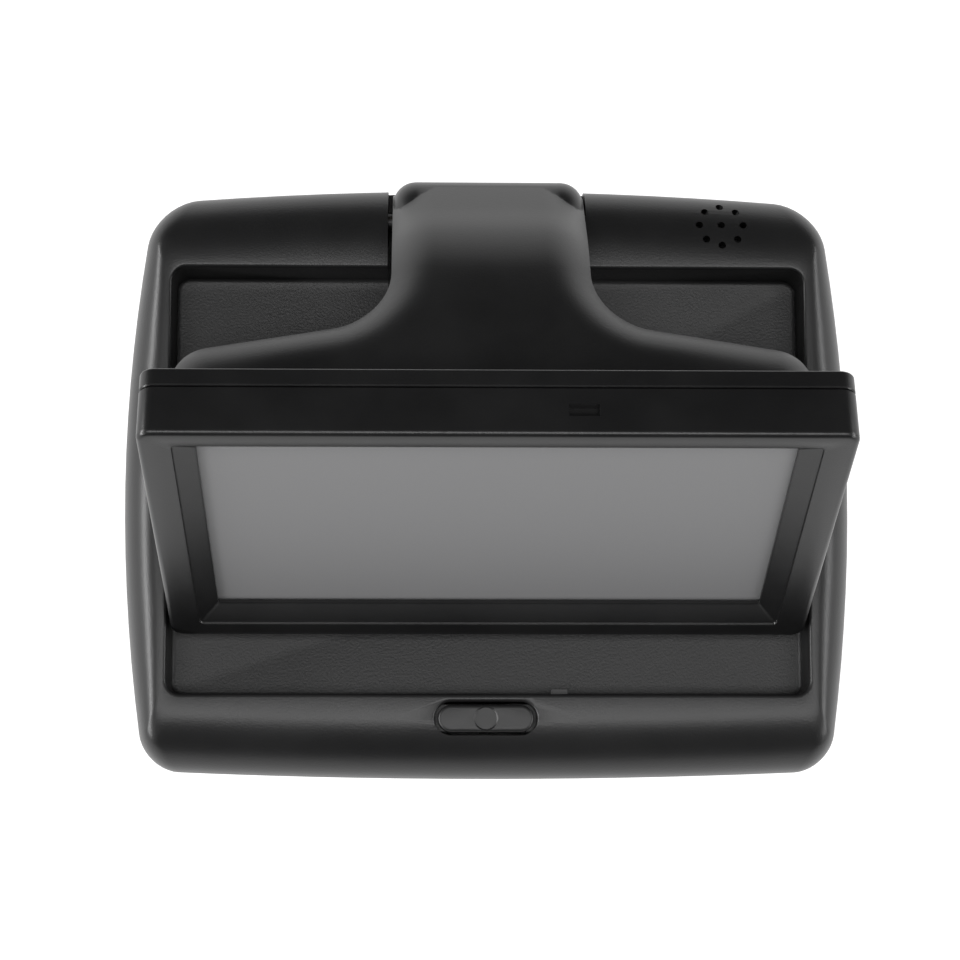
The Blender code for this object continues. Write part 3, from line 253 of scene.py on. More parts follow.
class Value:
    """A shader socket whose arithmetic adds Math nodes."""

    def __init__(self, shader, socket):
        self.shader = shader
        self.socket = socket

    def math(self, operation, first, second=None):
        inputs = {0: first} if second is None else {0: first, 1: second}
        return self.shader.node("ShaderNodeMath", {"operation": operation}, inputs)

    def __add__(self, other):
        return self.math("ADD", self, other)

    def __radd__(self, other):
        return self.math("ADD", other, self)

    def __sub__(self, other):
        return self.math("SUBTRACT", self, other)

    def __rsub__(self, other):
        return self.math("SUBTRACT", other, self)

    def __mul__(self, other):
        return self.math("MULTIPLY", self, other)

    def __rmul__(self, other):
        return self.math("MULTIPLY", other, self)

    def step(self, low, high):
        """0 below low, 1 above high and smooth between them."""
        return self.shader.node("ShaderNodeMapRange", {"interpolation_type": "SMOOTHSTEP"},
                                {"Value": self, "From Min": low, "From Max": high})


class Finish:
    """One Principled material on Object coordinates."""

    def __init__(self, name, colour, roughness, **settings):
        self.material = bpy.data.materials.new(name)
        self.material.use_nodes = True
        self.tree = self.material.node_tree
        self.principled = self.tree.nodes["Principled BSDF"]
        self.material.diffuse_color = (*colour, 1)
        self.set("Base Color", (*colour, 1))
        self.set("Roughness", roughness)
        self.set("Specular IOR Level", SURFACE_GLOSS)
        for name_of_socket, value in settings.items():
            self.set(name_of_socket.replace("_", " ").title().replace("Ior", "IOR"), value)
        self.place = self.node("ShaderNodeTexCoord", {}, {}, "Object")

    def set(self, socket, value):
        if isinstance(value, Value):
            self.tree.links.new(value.socket, self.principled.inputs[socket])
        else:
            self.principled.inputs[socket].default_value = value

    def node(self, kind, settings, inputs, output=0):
        made = self.tree.nodes.new(kind)
        for name, value in settings.items():
            setattr(made, name, value)
        for key, value in inputs.items():
            if isinstance(value, Value):
                self.tree.links.new(value.socket, made.inputs[key])
            else:
                made.inputs[key].default_value = value
        return Value(self, made.outputs[output])

    def noise(self, per_metre, detail=2.0, roughness=0.5):
        return self.node("ShaderNodeTexNoise", {}, {"Vector": self.place, "Scale": per_metre, "Detail": detail,
                                                     "Roughness": roughness})

    def cells(self, per_metre):
        return self.node("ShaderNodeTexVoronoi", {}, {"Vector": self.place, "Scale": per_metre})

    def axis(self, letter):
        return self.node("ShaderNodeSeparateXYZ", {}, {0: self.place}, letter)

    def blend(self, factor, first, second):
        """Colour first where factor is 0 and second where it is 1."""
        return self.node("ShaderNodeMix", {"data_type": "RGBA"}, {0: factor, 6: (*first, 1), 7: (*second, 1)}, 2)

    def bump(self, height, distance, strength=1.0):
        self.set("Normal", self.node("ShaderNodeBump", {}, {"Height": height, "Distance": distance,
                                                              "Strength": strength}))


# ---- Finishes -----------------------------------------------------------------------------------------
BASE_BLACK = (0.006, 0.006, 0.0062)
BASE_BLACK_WORN = (0.010, 0.010, 0.0102)
SATIN_BLACK = (0.005, 0.005, 0.0052)
SATIN_BLACK_WORN = (0.008, 0.008, 0.0082)
LATCH_BLACK = (0.02, 0.02, 0.02)
LATCH_BLACK_WORN = (0.026, 0.026, 0.026)
BUZZER_BLACK = (0.02, 0.02, 0.021)
BUZZER_BLACK_WORN = (0.03, 0.03, 0.031)
DISPLAY_GREY = (0.138, 0.138, 0.14)
DISPLAY_GREY_GRAIN = (0.148, 0.148, 0.15)
BOARD_GREEN = (0.02, 0.12, 0.05)
TRACK_GREEN = (0.03, 0.18, 0.07)
FOAM_PORE = (0.028, 0.028, 0.03)
FOAM_GREY = (0.05, 0.05, 0.052)


def moulded_plastic(name, colour, lighter, roughness, grain_per_metre, grain_depth, spread=0.06):
    """Charcoal moulded plastic: spark grain, faint clouding from handling and small changes in gloss."""
    finish = Finish(name, colour, roughness)
    clouds = finish.noise(45, 3.0, 0.6)
    grain = finish.noise(grain_per_metre, 2.0, 0.55)
    finish.set("Base Color", finish.blend(clouds.step(0.3, 0.75), colour, lighter))
    finish.set("Roughness", roughness - spread / 2 + clouds * spread + grain * 0.05)
    finish.bump(grain, grain_depth)
    return finish.material


def base_plastic():
    """The base's grain is fine outside and on the rims, and coarse on the recess floor."""
    finish = Finish("base_plastic", BASE_BLACK, 0.4)
    clouds = finish.noise(40, 3.0, 0.6)
    fine = finish.noise(2600, 2.0, 0.6)
    coarse = finish.noise(2300, 2.0, 0.6)
    height = finish.axis("Z")
    sideways = finish.axis("X")
    on_floor = (1 - height.step(RECESS_FLOOR + 0.3 * MM, RECESS_FLOOR + 1.2 * MM)) * (
        1 - (sideways * sideways).step((RECESS_HALF_WIDTH - 0.2 * MM) ** 2, RECESS_HALF_WIDTH ** 2))
    speckle = coarse.step(0.52, 0.72)
    tone = clouds.step(0.3, 0.75) * 0.6 + on_floor * speckle * 0.4
    finish.set("Base Color", finish.blend(tone, BASE_BLACK, BASE_BLACK_WORN))
    finish.set("Roughness", 0.35 + clouds * 0.06 + on_floor * 0.1)
    finish.bump(fine * (1 - on_floor) * 0.5 + coarse * on_floor * 1.4, 0.05 * MM)
    return finish.material


def display_face():
    """The unlit display: an even grey polariser with a soft anti-glare surface."""
    finish = Finish("display_face", (0.17, 0.17, 0.172), 0.42)
    grain = finish.noise(3800, 1.0)
    finish.set("Base Color", finish.blend(grain, DISPLAY_GREY, DISPLAY_GREY_GRAIN))
    finish.bump(grain, 0.004 * MM)
    finish.set("Specular IOR Level", 0.25)
    return finish.material


def plated_steel():
    finish = Finish("plated_steel", (0.6, 0.6, 0.62), 0.3, metallic=1.0)
    brushed = finish.noise(900, 3.0)
    finish.set("Roughness", 0.24 + brushed * 0.16)
    finish.bump(brushed, 0.008 * MM)
    return finish.material


# Steel whose colour is darkened as painted shade, so the pins stay dark in the shaded hinge gaps instead of
# glinting.
def blackened_steel():
    finish = Finish("blackened_steel", (0.05, 0.05, 0.052), 0.5, metallic=1.0)
    mottle = finish.noise(700, 3.0)
    finish.set("Roughness", 0.44 + mottle * 0.16)
    finish.bump(mottle, 0.008 * MM)
    return finish.material


def turned_brass():
    finish = Finish("turned_brass", (0.72, 0.52, 0.22), 0.32, metallic=1.0)
    marks = finish.noise(1200, 2.0)
    finish.set("Roughness", 0.26 + marks * 0.14)
    finish.bump(marks, 0.006 * MM)
    return finish.material


def circuit_board():
    finish = Finish("circuit_board", BOARD_GREEN, 0.4)
    tracks = finish.cells(420).step(0.25, 0.4)
    finish.set("Base Color", finish.blend(tracks, BOARD_GREEN, TRACK_GREEN))
    finish.bump(tracks, 0.03 * MM)
    return finish.material


def foam_tape():
    finish = Finish("foam_tape", (0.04, 0.04, 0.042), 0.92)
    pores = finish.cells(1600)
    finish.set("Base Color", finish.blend(pores.step(0.1, 0.6), FOAM_PORE, FOAM_GREY))
    finish.bump(pores, 0.12 * MM)
    return finish.material


def inlet_rubber():
    finish = Finish("inlet_rubber", (0.025, 0.025, 0.026), 0.7)
    bloom = finish.noise(500, 3.0)
    finish.set("Roughness", 0.62 + bloom * 0.2)
    finish.bump(bloom, 0.03 * MM)
    return finish.material


def backlight_sheet():
    finish = Finish("backlight_sheet", (0.7, 0.7, 0.69), 0.4)
    haze = finish.noise(300, 2.0)
    finish.set("Roughness", 0.34 + haze * 0.14)
    return finish.material


BASE_PLASTIC = base_plastic()
ARM_PLASTIC = moulded_plastic("arm_plastic", SATIN_BLACK, SATIN_BLACK_WORN, 0.34, 3200, 0.02 * MM)
SCREEN_PLASTIC = moulded_plastic("screen_plastic", SATIN_BLACK, SATIN_BLACK_WORN, 0.30, 3600, 0.015 * MM)
BUTTON_PLASTIC = moulded_plastic("button_plastic", SATIN_BLACK, SATIN_BLACK_WORN, 0.42, 3800, 0.012 * MM)
LATCH_PLASTIC = moulded_plastic("latch_plastic", LATCH_BLACK, LATCH_BLACK_WORN, 0.5, 2600, 0.02 * MM)
BUZZER_PLASTIC = moulded_plastic("buzzer_plastic", BUZZER_BLACK, BUZZER_BLACK_WORN, 0.55, 2200, 0.02 * MM)
DISPLAY_FACE = display_face()
STEEL = plated_steel()
SHADE_DARKENED_STEEL = blackened_steel()
BRASS = turned_brass()
BOARD = circuit_board()
FOAM = foam_tape()
RUBBER = inlet_rubber()
BACKLIGHT = backlight_sheet()

# ---- Base cover ---------------------------------------------------------------------------------------
WIDEST_HEIGHT = 6.0 * MM
FRONT_ROUNDING = 11.0 * MM
REAR_ROUNDING = 13.0 * MM
SIDE_ROUNDING = 7.0 * MM
SKIRT_TUCK = 0.8 * MM
FRONT_CORNER = 6.5 * MM
REAR_CORNER = 9.0 * MM
SIDE_BOW_RADIUS = 317 * MM
SIDE_BOW_CENTRE = -1.3 * MM
SIDE_LAND = 1.0 * MM
REAR_BOW_RADIUS = 800 * MM
FRONT_BOW_RADIUS = 1500 * MM
BASE_WALL = 2.2 * MM
TUB_WALL = 1.2 * MM
TUB_FLOOR = 1.5 * MM
RECESS_CORNER = 2.5 * MM
RECESS_FRONT = -BASE_HALF_DEPTH + 14.7 * MM
RECESS_REAR = BASE_HALF_DEPTH - 16.7 * MM
LIP_RADIUS = 0.7 * MM
FLOOR_FILLET = 0.9 * MM
SLOT_LEFT = -18.2 * MM
SLOT_RIGHT = 17.75 * MM
SLOT_FLOOR = ARM_AXIS.z - 7.7 * MM
CHEEK = 4.2 * MM
BOW_STEPS = 14
LONG_EDGE = 40 * MM
CLEAR = 2 * MM
SCREW_HOLE_RADIUS = 1.3 * MM
BASE_BOSS_FOOT = 2.7 * MM
BASE_BOSS_RADIUS = 2.7 * MM
HINGE_PIN_HOLE_RADIUS = 1.8 * MM
INLET_HOLE_RADIUS = 2.6 * MM
BUTTON_HOLE_LENGTH = 18.2 * MM
BUTTON_HOLE_WIDTH = 6.0 * MM
GRILLE_X = 42.4 * MM
GRILLE_Y = BASE_HALF_DEPTH - 8.2 * MM
GRILLE_RADIUS = 4.0 * MM
GRILLE_HOLES = 8
GRILLE_HOLE_RADIUS = 0.68 * MM
GRILLE_HOLE_FOOT = 8 * MM


def bowed_outline(wall, share=0.0):
    """The base's barrel-shaped outline this far inside its skin, at this share of the rim's rounding."""
    sides, front, rear = (wall + share * width for width in (SIDE_ROUNDING, FRONT_ROUNDING, REAR_ROUNDING))
    half_x, low, high = BASE_HALF_WIDTH - sides, -BASE_HALF_DEPTH + front, BASE_HALF_DEPTH - rear
    front_r = max(FRONT_CORNER - (sides + front) / 2, RECESS_CORNER)
    rear_r = max(REAR_CORNER - (sides + rear) / 2, RECESS_CORNER)
    plain = filleted([(-half_x, low, front_r), (half_x, low, front_r), (half_x, high, rear_r),
                      (-half_x, high, rear_r)])
    bowed = []
    for x, y in with_bow_points(plain):
        side_bow = (y - SIDE_BOW_CENTRE) ** 2 / (2 * SIDE_BOW_RADIUS)
        end_bow = x ** 2 / (2 * (REAR_BOW_RADIUS if y > 0 else FRONT_BOW_RADIUS))
        widest = BASE_HALF_WIDTH - wall - side_bow
        land = RECESS_HALF_WIDTH + SIDE_LAND - wall
        side = max(half_x - side_bow, widest - share * (widest - land))
        bowed.append((x / half_x * side, y - (y / high if y > 0 else -y / low) * end_bow))
    return bowed


def with_bow_points(plain):
    """The outline with points added along its long edges, so that they can be bowed."""
    points = []
    for i, point in enumerate(plain):
        following = plain[(i + 1) % len(plain)]
        points.append(point)
        if (following - point).length > LONG_EDGE:
            points += [point.lerp(following, step / BOW_STEPS) for step in range(1, BOW_STEPS)]
    return points


def rim_rings(wall, steps):
    """The outer skin from the widest level up over its elliptical rounding, or a skin this much inside it."""
    rings = []
    for step in range(steps + 1):
        angle = math.pi / 2 * step / steps
        share = 1 - math.cos(angle)
        height = WIDEST_HEIGHT + (RIM_TOP - wall - WIDEST_HEIGHT) * math.sin(angle)
        rings.append(at(bowed_outline(wall, share), height))
    return rings


def recess_outline(out):
    low = (-RECESS_HALF_WIDTH - out, RECESS_FRONT - out)
    high = (RECESS_HALF_WIDTH + out, RECESS_REAR + out)
    return with_bow_points(rounded_rectangle(low, high, RECESS_CORNER + out))


def cover_solid():
    tuck = SKIRT_TUCK
    rings = [at(bowed_outline(tuck + 0.4 * MM), SKIRT_FOOT), at(bowed_outline(tuck), SKIRT_FOOT + 0.4 * MM),
             at(bowed_outline(tuck * 0.35), (SKIRT_FOOT + WIDEST_HEIGHT) / 2)]
    rings += rim_rings(0, 18)
    for step in range(6):
        angle = math.pi / 2 * step / 5
        rings.append(at(recess_outline(LIP_RADIUS * (1 - math.sin(angle))),
                        RIM_TOP - LIP_RADIUS * (1 - math.cos(angle))))
    for step in range(5):
        angle = math.pi / 2 * step / 4
        rings.append(at(recess_outline(-FLOOR_FILLET * (1 - math.cos(angle))),
                        RECESS_FLOOR + FLOOR_FILLET * (1 - math.sin(angle))))
    return grown(rings)


def cover_cavity():
    """The hollow under the cover; the recess's tub, the hinge cheeks and the screw bosses stay standing in it."""
    inset = SKIRT_TUCK + BASE_WALL
    rings = [at(bowed_outline(inset), SKIRT_FOOT - CLEAR)] + rim_rings(BASE_WALL, 10)
    cavity = new_piece("cavity_helper", grown(rings), None)
    tub = recess_outline(TUB_WALL)
    standing_tub = grown([at(tub, RECESS_FLOOR - TUB_FLOOR), at(tub, RIM_TOP + CLEAR)])
    cheeks = box((SLOT_LEFT - CHEEK, RECESS_REAR, SLOT_FLOOR - TUB_FLOOR),
                 (SLOT_RIGHT + CHEEK, BASE_HALF_DEPTH + CLEAR, RIM_TOP + CLEAR))
    cuts = [(standing_tub, "DIFFERENCE"), (cheeks, "DIFFERENCE")]
    for number in range(1, 5):
        x, y, _ = node_middle(f"base_screw_{number}")
        boss = cylinder((x, y, BASE_BOSS_FOOT), (x, y, RIM_TOP + CLEAR), BASE_BOSS_RADIUS, 32)
        cuts.append((boss, "DIFFERENCE"))
    apply_cuts(cavity, cuts)
    bm = copy_of(cavity)
    bpy.data.objects.remove(cavity, do_unlink=True)
    return bm


def grille_cuts():
    """A ring of sound holes with one in the middle."""
    cuts = []
    for i in range(GRILLE_HOLES + 1):
        angle = math.tau * i / GRILLE_HOLES + math.pi / 2
        reach = GRILLE_RADIUS if i < GRILLE_HOLES else 0
        x, y = GRILLE_X + reach * math.cos(angle), GRILLE_Y + reach * math.sin(angle)
        hole = cylinder((x, y, GRILLE_HOLE_FOOT), (x, y, RIM_TOP + CLEAR), GRILLE_HOLE_RADIUS, 20)
        cuts.append((hole, "DIFFERENCE"))
    return cuts


def stadium(centre, length, width, steps=12):
    return rounded_rectangle((centre[0] - length / 2, centre[1] - width / 2),
                             (centre[0] + length / 2, centre[1] + width / 2), width / 2 * 0.999, steps)


def base_cover():
    cover = new_piece("base_cover_skin", cover_solid(), BASE_PLASTIC)
    x, y = BUTTON_MIDDLE.x, BUTTON_MIDDLE.y
    flare = [(0, -6.0), (0, -0.35), (0.3, -0.12), (0.9, 0.05), (0.9, 2.0)]
    opening = grown([at(stadium((x, y), BUTTON_HOLE_LENGTH + out * MM, BUTTON_HOLE_WIDTH + out * MM),
                        RIM_TOP + rise * MM) for out, rise in flare])
    window_low = Vector((LATCH_HIGH.x - 3.3 * MM, RECESS_FRONT - 3.2 * MM, LATCH_LOW.z - 0.7 * MM))
    window_high = Vector((LATCH_HIGH.x + 0.3 * MM, RECESS_FRONT + 2 * MM, LATCH_HIGH.z + 0.7 * MM))
    slot = box((SLOT_LEFT, RECESS_REAR - CLEAR, SLOT_FLOOR),
               (SLOT_RIGHT, BASE_HALF_DEPTH + 2 * CLEAR, RIM_TOP + 2 * CLEAR))
    flange_pocket = box((BUTTON_LOW.x - 0.3 * MM, y - 2.6 * MM, LATCH_LOW.z + 0.7 * MM),
                        (BUTTON_HIGH.x + 0.3 * MM, y + 2.9 * MM, RIM_TOP - 2.35 * MM))
    reach = Vector((SLOT_RIGHT + CHEEK + CLEAR, 0, 0))
    pin_hole = cylinder(ARM_AXIS - reach, ARM_AXIS + reach, HINGE_PIN_HOLE_RADIUS)
    inlet_hole = cylinder((INLET_MIDDLE.x, INLET_REAR - 4 * MM, INLET_MIDDLE.z),
                          (INLET_MIDDLE.x, INLET_REAR + 6 * MM, INLET_MIDDLE.z), INLET_HOLE_RADIUS)
    hook_window = box(window_low, window_high)
    removed = [cover_cavity(), slot, pin_hole, opening, flange_pocket, hook_window, inlet_hole]
    cuts = [(shape, "DIFFERENCE") for shape in removed] + grille_cuts()
    for number in range(1, 5):
        x, y, _ = node_middle(f"base_screw_{number}")
        top = node_box(f"base_screw_{number}")[1].z + 0.3 * MM
        cuts.append((cylinder((x, y, SKIRT_FOOT), (x, y, top), SCREW_HOLE_RADIUS, 24), "DIFFERENCE"))
    apply_cuts(cover, cuts)
    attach(cover, "base")
    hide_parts("base_cover")


# ---- Arm ----------------------------------------------------------------------------------------------
NECK_HALF_WIDTH = 17.3 * MM
BARREL_RADIUS = 7.4 * MM
BARREL_REAR = BARREL_RADIUS * 0.92
BAR_HALF_WIDTH = 54.4 * MM
BAR_DEPTH = 18.8 * MM
BAR_REAR_SLANT = 6.8 * MM
NECK_FILLET = 12.5 * MM
BAR_REAR_CORNER = 7.0 * MM
BAR_FRONT_CORNER = 4.0 * MM
ARM_EDGE_WIDTH = 8.0 * MM
ARM_EDGE_DROP = 4.2 * MM
ARM_EDGE_BEND = 2.0
BARREL_EDGE = 4.2 * MM
ARM_WALL = 2.2 * MM
PIVOT_ON_ARM = Matrix.Rotation(ARM_OPEN, 3, "X") @ (SCREEN_AXIS - ARM_AXIS)
BAR_FRONT = PIVOT_ON_ARM.y - 2.9 * MM
BAR_REAR = BAR_FRONT + BAR_DEPTH
ARM_UNDERSIDE = PIVOT_ON_ARM.z - 2.7 * MM
EAR_CENTRE = 34.0 * MM
EAR_WIDTH = 8.0 * MM
EAR_RADIUS = 3.4 * MM
BARREL_END = math.radians(30)
LID_LINE = [(BARREL_RADIUS * math.sin(BARREL_END), BARREL_RADIUS * math.cos(BARREL_END)),
            (-4.9 * MM, 10.9 * MM), (-13.5 * MM, 15.3 * MM), (-21.2 * MM, 17.8 * MM), (-28.0 * MM, 18.6 * MM),
            (-36.0 * MM, 18.4 * MM), (-44.0 * MM, 17.5 * MM), (-60.0 * MM, 15.6 * MM)]
ARM_BOSS_RADIUS = 2.4 * MM
SLEEVE_HOLE_RADIUS = 3.0 * MM
SCREEN_PIN_HOLE_RADIUS = 1.5 * MM
SCREEN_PIN_REACH = 9.3 * MM
EAR_GAP = 0.5 * MM


def lid_height(y):
    """The arm's back at this distance from its hinge: round the barrel, then a smooth line through the points."""
    if y > LID_LINE[0][0]:
        return math.sqrt(BARREL_RADIUS ** 2 - y ** 2)
    count = len(LID_LINE)
    for i in range(count - 1):
        (y1, z1), (y2, z2) = LID_LINE[i], LID_LINE[i + 1]
        if y >= y2 or i == count - 2:
            y0, z0 = LID_LINE[i - 1] if i > 0 else (y1 + z1 * 0.5, z1 - y1 * 0.5)
            y3, z3 = LID_LINE[i + 2] if i < count - 2 else (2 * y2 - y1, 2 * z2 - z1)
            span = y2 - y1
            t = (y - y1) / span
            m1, m2 = (z2 - z0) / (y2 - y0) * span, (z3 - z1) / (y3 - y1) * span
            return ((2 * t ** 3 - 3 * t ** 2 + 1) * z1 + (t ** 3 - 2 * t ** 2 + t) * m1
                    + (3 * t ** 2 - 2 * t ** 3) * z2 + (t ** 3 - t ** 2) * m2)
    return LID_LINE[-1][1]


def underside_height(y):
    """The arm's underside: level over the shut screen, then down to the hinge barrel."""
    run = min(max((y + 14 * MM) / (9 * MM), 0), 1)
    return ARM_UNDERSIDE + run * run * (3 - 2 * run) * (-BARREL_RADIUS * 0.35 - ARM_UNDERSIDE)


def arm_outline(inset):
    """The arm's T seen from above in its own frame: the neck runs from its hinge to a wide bar."""
    slant = math.atan2(BAR_REAR_SLANT, BAR_HALF_WIDTH - NECK_HALF_WIDTH)
    neck, bar = NECK_HALF_WIDTH - inset, BAR_HALF_WIDTH - inset
    lift = inset / math.cos(slant)
    neck_side = BAR_REAR + BAR_REAR_SLANT * (bar - neck) / (BAR_HALF_WIDTH - NECK_HALF_WIDTH) - lift
    right = [(bar, BAR_FRONT + inset, max(BAR_FRONT_CORNER - inset, 0.4 * MM)),
             (bar, BAR_REAR - lift, max(BAR_REAR_CORNER - inset, 0.4 * MM)),
             (neck, neck_side, NECK_FILLET + inset),
             (neck, BARREL_REAR, 0)]
    return filleted([(-x, y, r) for x, y, r in reversed(right)] + right, 14)


def arm_solid(inset, wall, low_gap, round_under):
    """The T bent to the lid line, its upper edges rounded; inset and wall make the same shape for its hollow."""
    drop = ARM_EDGE_DROP - wall
    under = 0.9 * MM if round_under else 0.0
    levels = [(under, 0.0), (under * 0.3, 0.25), (0, 0.5), (0, 1)] if round_under else [(0, 0), (0, 1)]
    for step in range(1, 17):
        share = step / 16
        levels.append(((ARM_EDGE_WIDTH - wall) * share, 2 - (1 - share) ** ARM_EDGE_BEND))
    bm = grown([at(arm_outline(inset + extra), level) for extra, level in levels])
    cuts = int((BARREL_REAR - BAR_FRONT) / (1.0 * MM))
    for step in range(1, cuts):
        y = BAR_FRONT + (BARREL_REAR - BAR_FRONT) * step / cuts
        everything = bm.verts[:] + bm.edges[:] + bm.faces[:]
        bmesh.ops.bisect_plane(bm, geom=everything, dist=1e-7, plane_co=(0, y, 0), plane_no=(0, 1, 0))
    for vert in bm.verts:
        y, level = vert.co.y, vert.co.z
        if level < 0.9:
            vert.co.z = underside_height(y) - low_gap + 2 * under * level
        else:
            vert.co.z = lid_height(y) - wall - drop * (2 - level)
    return bm


def arm_shell():
    shell = new_piece("arm_skin", arm_solid(0, 0, 0, True), ARM_PLASTIC)
    half = Vector((NECK_HALF_WIDTH, 0, 0))
    barrel = cylinder(-half, half, BARREL_RADIUS, 96, round_over=BARREL_EDGE, rounds=8)
    hollow = new_piece("hollow_helper", arm_solid(ARM_WALL, ARM_WALL, 2 * MM, False), None)
    wide = 60 * MM
    front_stop = box((-wide, BAR_FRONT - 2 * MM, -wide), (wide, PIVOT_ON_ARM.y + EAR_RADIUS + 2.5 * MM, wide))
    rear_stop = box((-wide, -14.2 * MM, -wide), (wide, wide, wide))
    stops = [(front_stop, "DIFFERENCE"), (rear_stop, "DIFFERENCE")]
    screws = [TO_ARM.inverted() @ node_middle(f"arm_screw_{number}") for number in range(1, 5)]
    for x, y, _ in screws:
        boss = cylinder((x, y, ARM_UNDERSIDE + 1.7 * MM), (x, y, ARM_UNDERSIDE + 30 * MM), ARM_BOSS_RADIUS)
        stops.append((boss, "DIFFERENCE"))
    apply_cuts(hollow, stops)
    cuts = [(barrel, "UNION"), (copy_of(hollow), "DIFFERENCE"),
            (cylinder(-2 * half, 2 * half, SLEEVE_HOLE_RADIUS, 40), "DIFFERENCE")]
    bpy.data.objects.remove(hollow, do_unlink=True)
    for x, y, _ in screws:
        hole = cylinder((x, y, ARM_UNDERSIDE - CLEAR), (x, y, ARM_UNDERSIDE + 5.8 * MM), SCREW_HOLE_RADIUS, 24)
        cuts.append((hole, "DIFFERENCE"))
    for side in (-1, 1):
        middle = side * EAR_CENTRE
        reach = EAR_RADIUS + EAR_GAP
        notch = box((middle - EAR_WIDTH / 2 - EAR_GAP, BAR_FRONT - CLEAR, ARM_UNDERSIDE - CLEAR),
                    (middle + EAR_WIDTH / 2 + EAR_GAP, PIVOT_ON_ARM.y + reach, 25 * MM))
        ends = [PIVOT_ON_ARM + Vector((middle + sign * SCREEN_PIN_REACH, 0, 0)) for sign in (-1, 1)]
        cuts += [(notch, "DIFFERENCE"), (cylinder(*ends, SCREEN_PIN_HOLE_RADIUS, 24), "DIFFERENCE")]
    apply_cuts(shell, cuts, sharp=34)
    shell.data.transform(TO_ARM)
    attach(shell, "arm")
    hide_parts("arm_shell")


# ---- Screen -------------------------------------------------------------------------------------------
FACE_Z = -16.0 * MM
SCREEN_TOP = -30.7 * MM
SCREEN_BOTTOM = SCREEN_TOP + SCREEN_HEIGHT
SEAM_Z = FACE_Z + 8.6 * MM
BACK_Z = FACE_Z + SCREEN_DEPTH
WINDOW_TOP = SCREEN_TOP + 6.9 * MM
WINDOW_BOTTOM = WINDOW_TOP + 53.9 * MM
WINDOW_HALF_WIDTH = 47.5 * MM
WINDOW_DEPTH = 1.7 * MM
WINDOW_RIM = 0.7 * MM
SCREEN_WALL = 2.2 * MM
FACE_EDGE = 0.9 * MM
BACK_EDGE = 0.5 * MM
BEZEL_LIP = 0.35 * MM
BEZEL_LEDGE = 0.45 * MM
BEZEL_TOP = 2.9 * MM
BEZEL_SIDE = 3.45 * MM
BEZEL_LOW = 4.95 * MM
NOTCH_X = 13.3 * MM
NOTCH_Z = FACE_Z + 4.6 * MM
NOTCH_HALF_WIDTH = 2.4 * MM
NOTCH_HALF_HEIGHT = 1.1 * MM
SCREEN_BOSS_RADIUS = 3.0 * MM
BUSH_HOLE_RADIUS = 2.5 * MM


def screen_outline(inset, radius=2.5 * MM):
    half = SCREEN_WIDTH / 2 - inset
    return rounded_rectangle((-half, SCREEN_TOP + inset), (half, SCREEN_BOTTOM - inset),
                             max(radius - inset, 0.35 * MM), 8)


def bezel_outline(out_sides, out_top, out_bottom, radius):
    """A rectangle round the window, further out at the bottom than at the top."""
    return rounded_rectangle((-WINDOW_HALF_WIDTH - out_sides, WINDOW_TOP - out_top),
                             (WINDOW_HALF_WIDTH + out_sides, WINDOW_BOTTOM + out_bottom), radius, 8)


def rounded_edge(radius, steps=6):
    """The (inset, depth) pairs of a quarter round, from the wall to the face."""
    angles = [math.pi / 2 * step / steps for step in range(steps + 1)]
    return [(radius * (1 - math.cos(angle)), radius * (1 - math.sin(angle))) for angle in angles]


def screen_front():
    """The front shell as one wall: outside, rounded edge, flat face, stepped and sloping bezel, inside."""
    rings = [at(screen_outline(0), SEAM_Z - 0.15 * MM)]
    rings += [at(screen_outline(inset), FACE_Z + depth) for inset, depth in rounded_edge(FACE_EDGE)]
    stepped = [(BEZEL_LIP, 1.3 * MM, 0), (BEZEL_LIP * 0.3, 1.1 * MM, BEZEL_LIP * 0.3), (0, 1.0 * MM, BEZEL_LEDGE),
               (-0.2 * MM, 0.9 * MM, BEZEL_LEDGE + 0.15 * MM)]
    rings += [at(bezel_outline(BEZEL_SIDE + out, BEZEL_TOP + out, BEZEL_LOW + out, radius), FACE_Z + depth)
              for out, radius, depth in stepped]
    rings += [at(bezel_outline(0.3 * MM, 0.3 * MM, 0.3 * MM, 0.5 * MM), FACE_Z + WINDOW_DEPTH - 0.1 * MM),
              at(bezel_outline(0, 0, 0, 0.4 * MM), FACE_Z + WINDOW_DEPTH + 0.1 * MM),
              at(bezel_outline(0, 0, 0, 0.4 * MM), FACE_Z + WINDOW_DEPTH + WINDOW_RIM),
              at(screen_outline(SCREEN_WALL), FACE_Z + WINDOW_DEPTH + WINDOW_RIM),
              at(screen_outline(SCREEN_WALL), SEAM_Z),
              at(screen_outline(0.2 * MM), SEAM_Z)]
    shell = new_piece("screen_front_skin", grown(rings, ring_closed=True), SCREEN_PLASTIC)
    notch = box((NOTCH_X - NOTCH_HALF_WIDTH, SCREEN_TOP - CLEAR, NOTCH_Z - NOTCH_HALF_HEIGHT),
                (NOTCH_X + NOTCH_HALF_WIDTH, SCREEN_TOP + 1.5 * MM, NOTCH_Z + NOTCH_HALF_HEIGHT))
    apply_cuts(shell, [(notch, "DIFFERENCE")])
    shell.data.transform(TO_SCREEN)
    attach(shell, "screen")
    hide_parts("screen_front_shell")


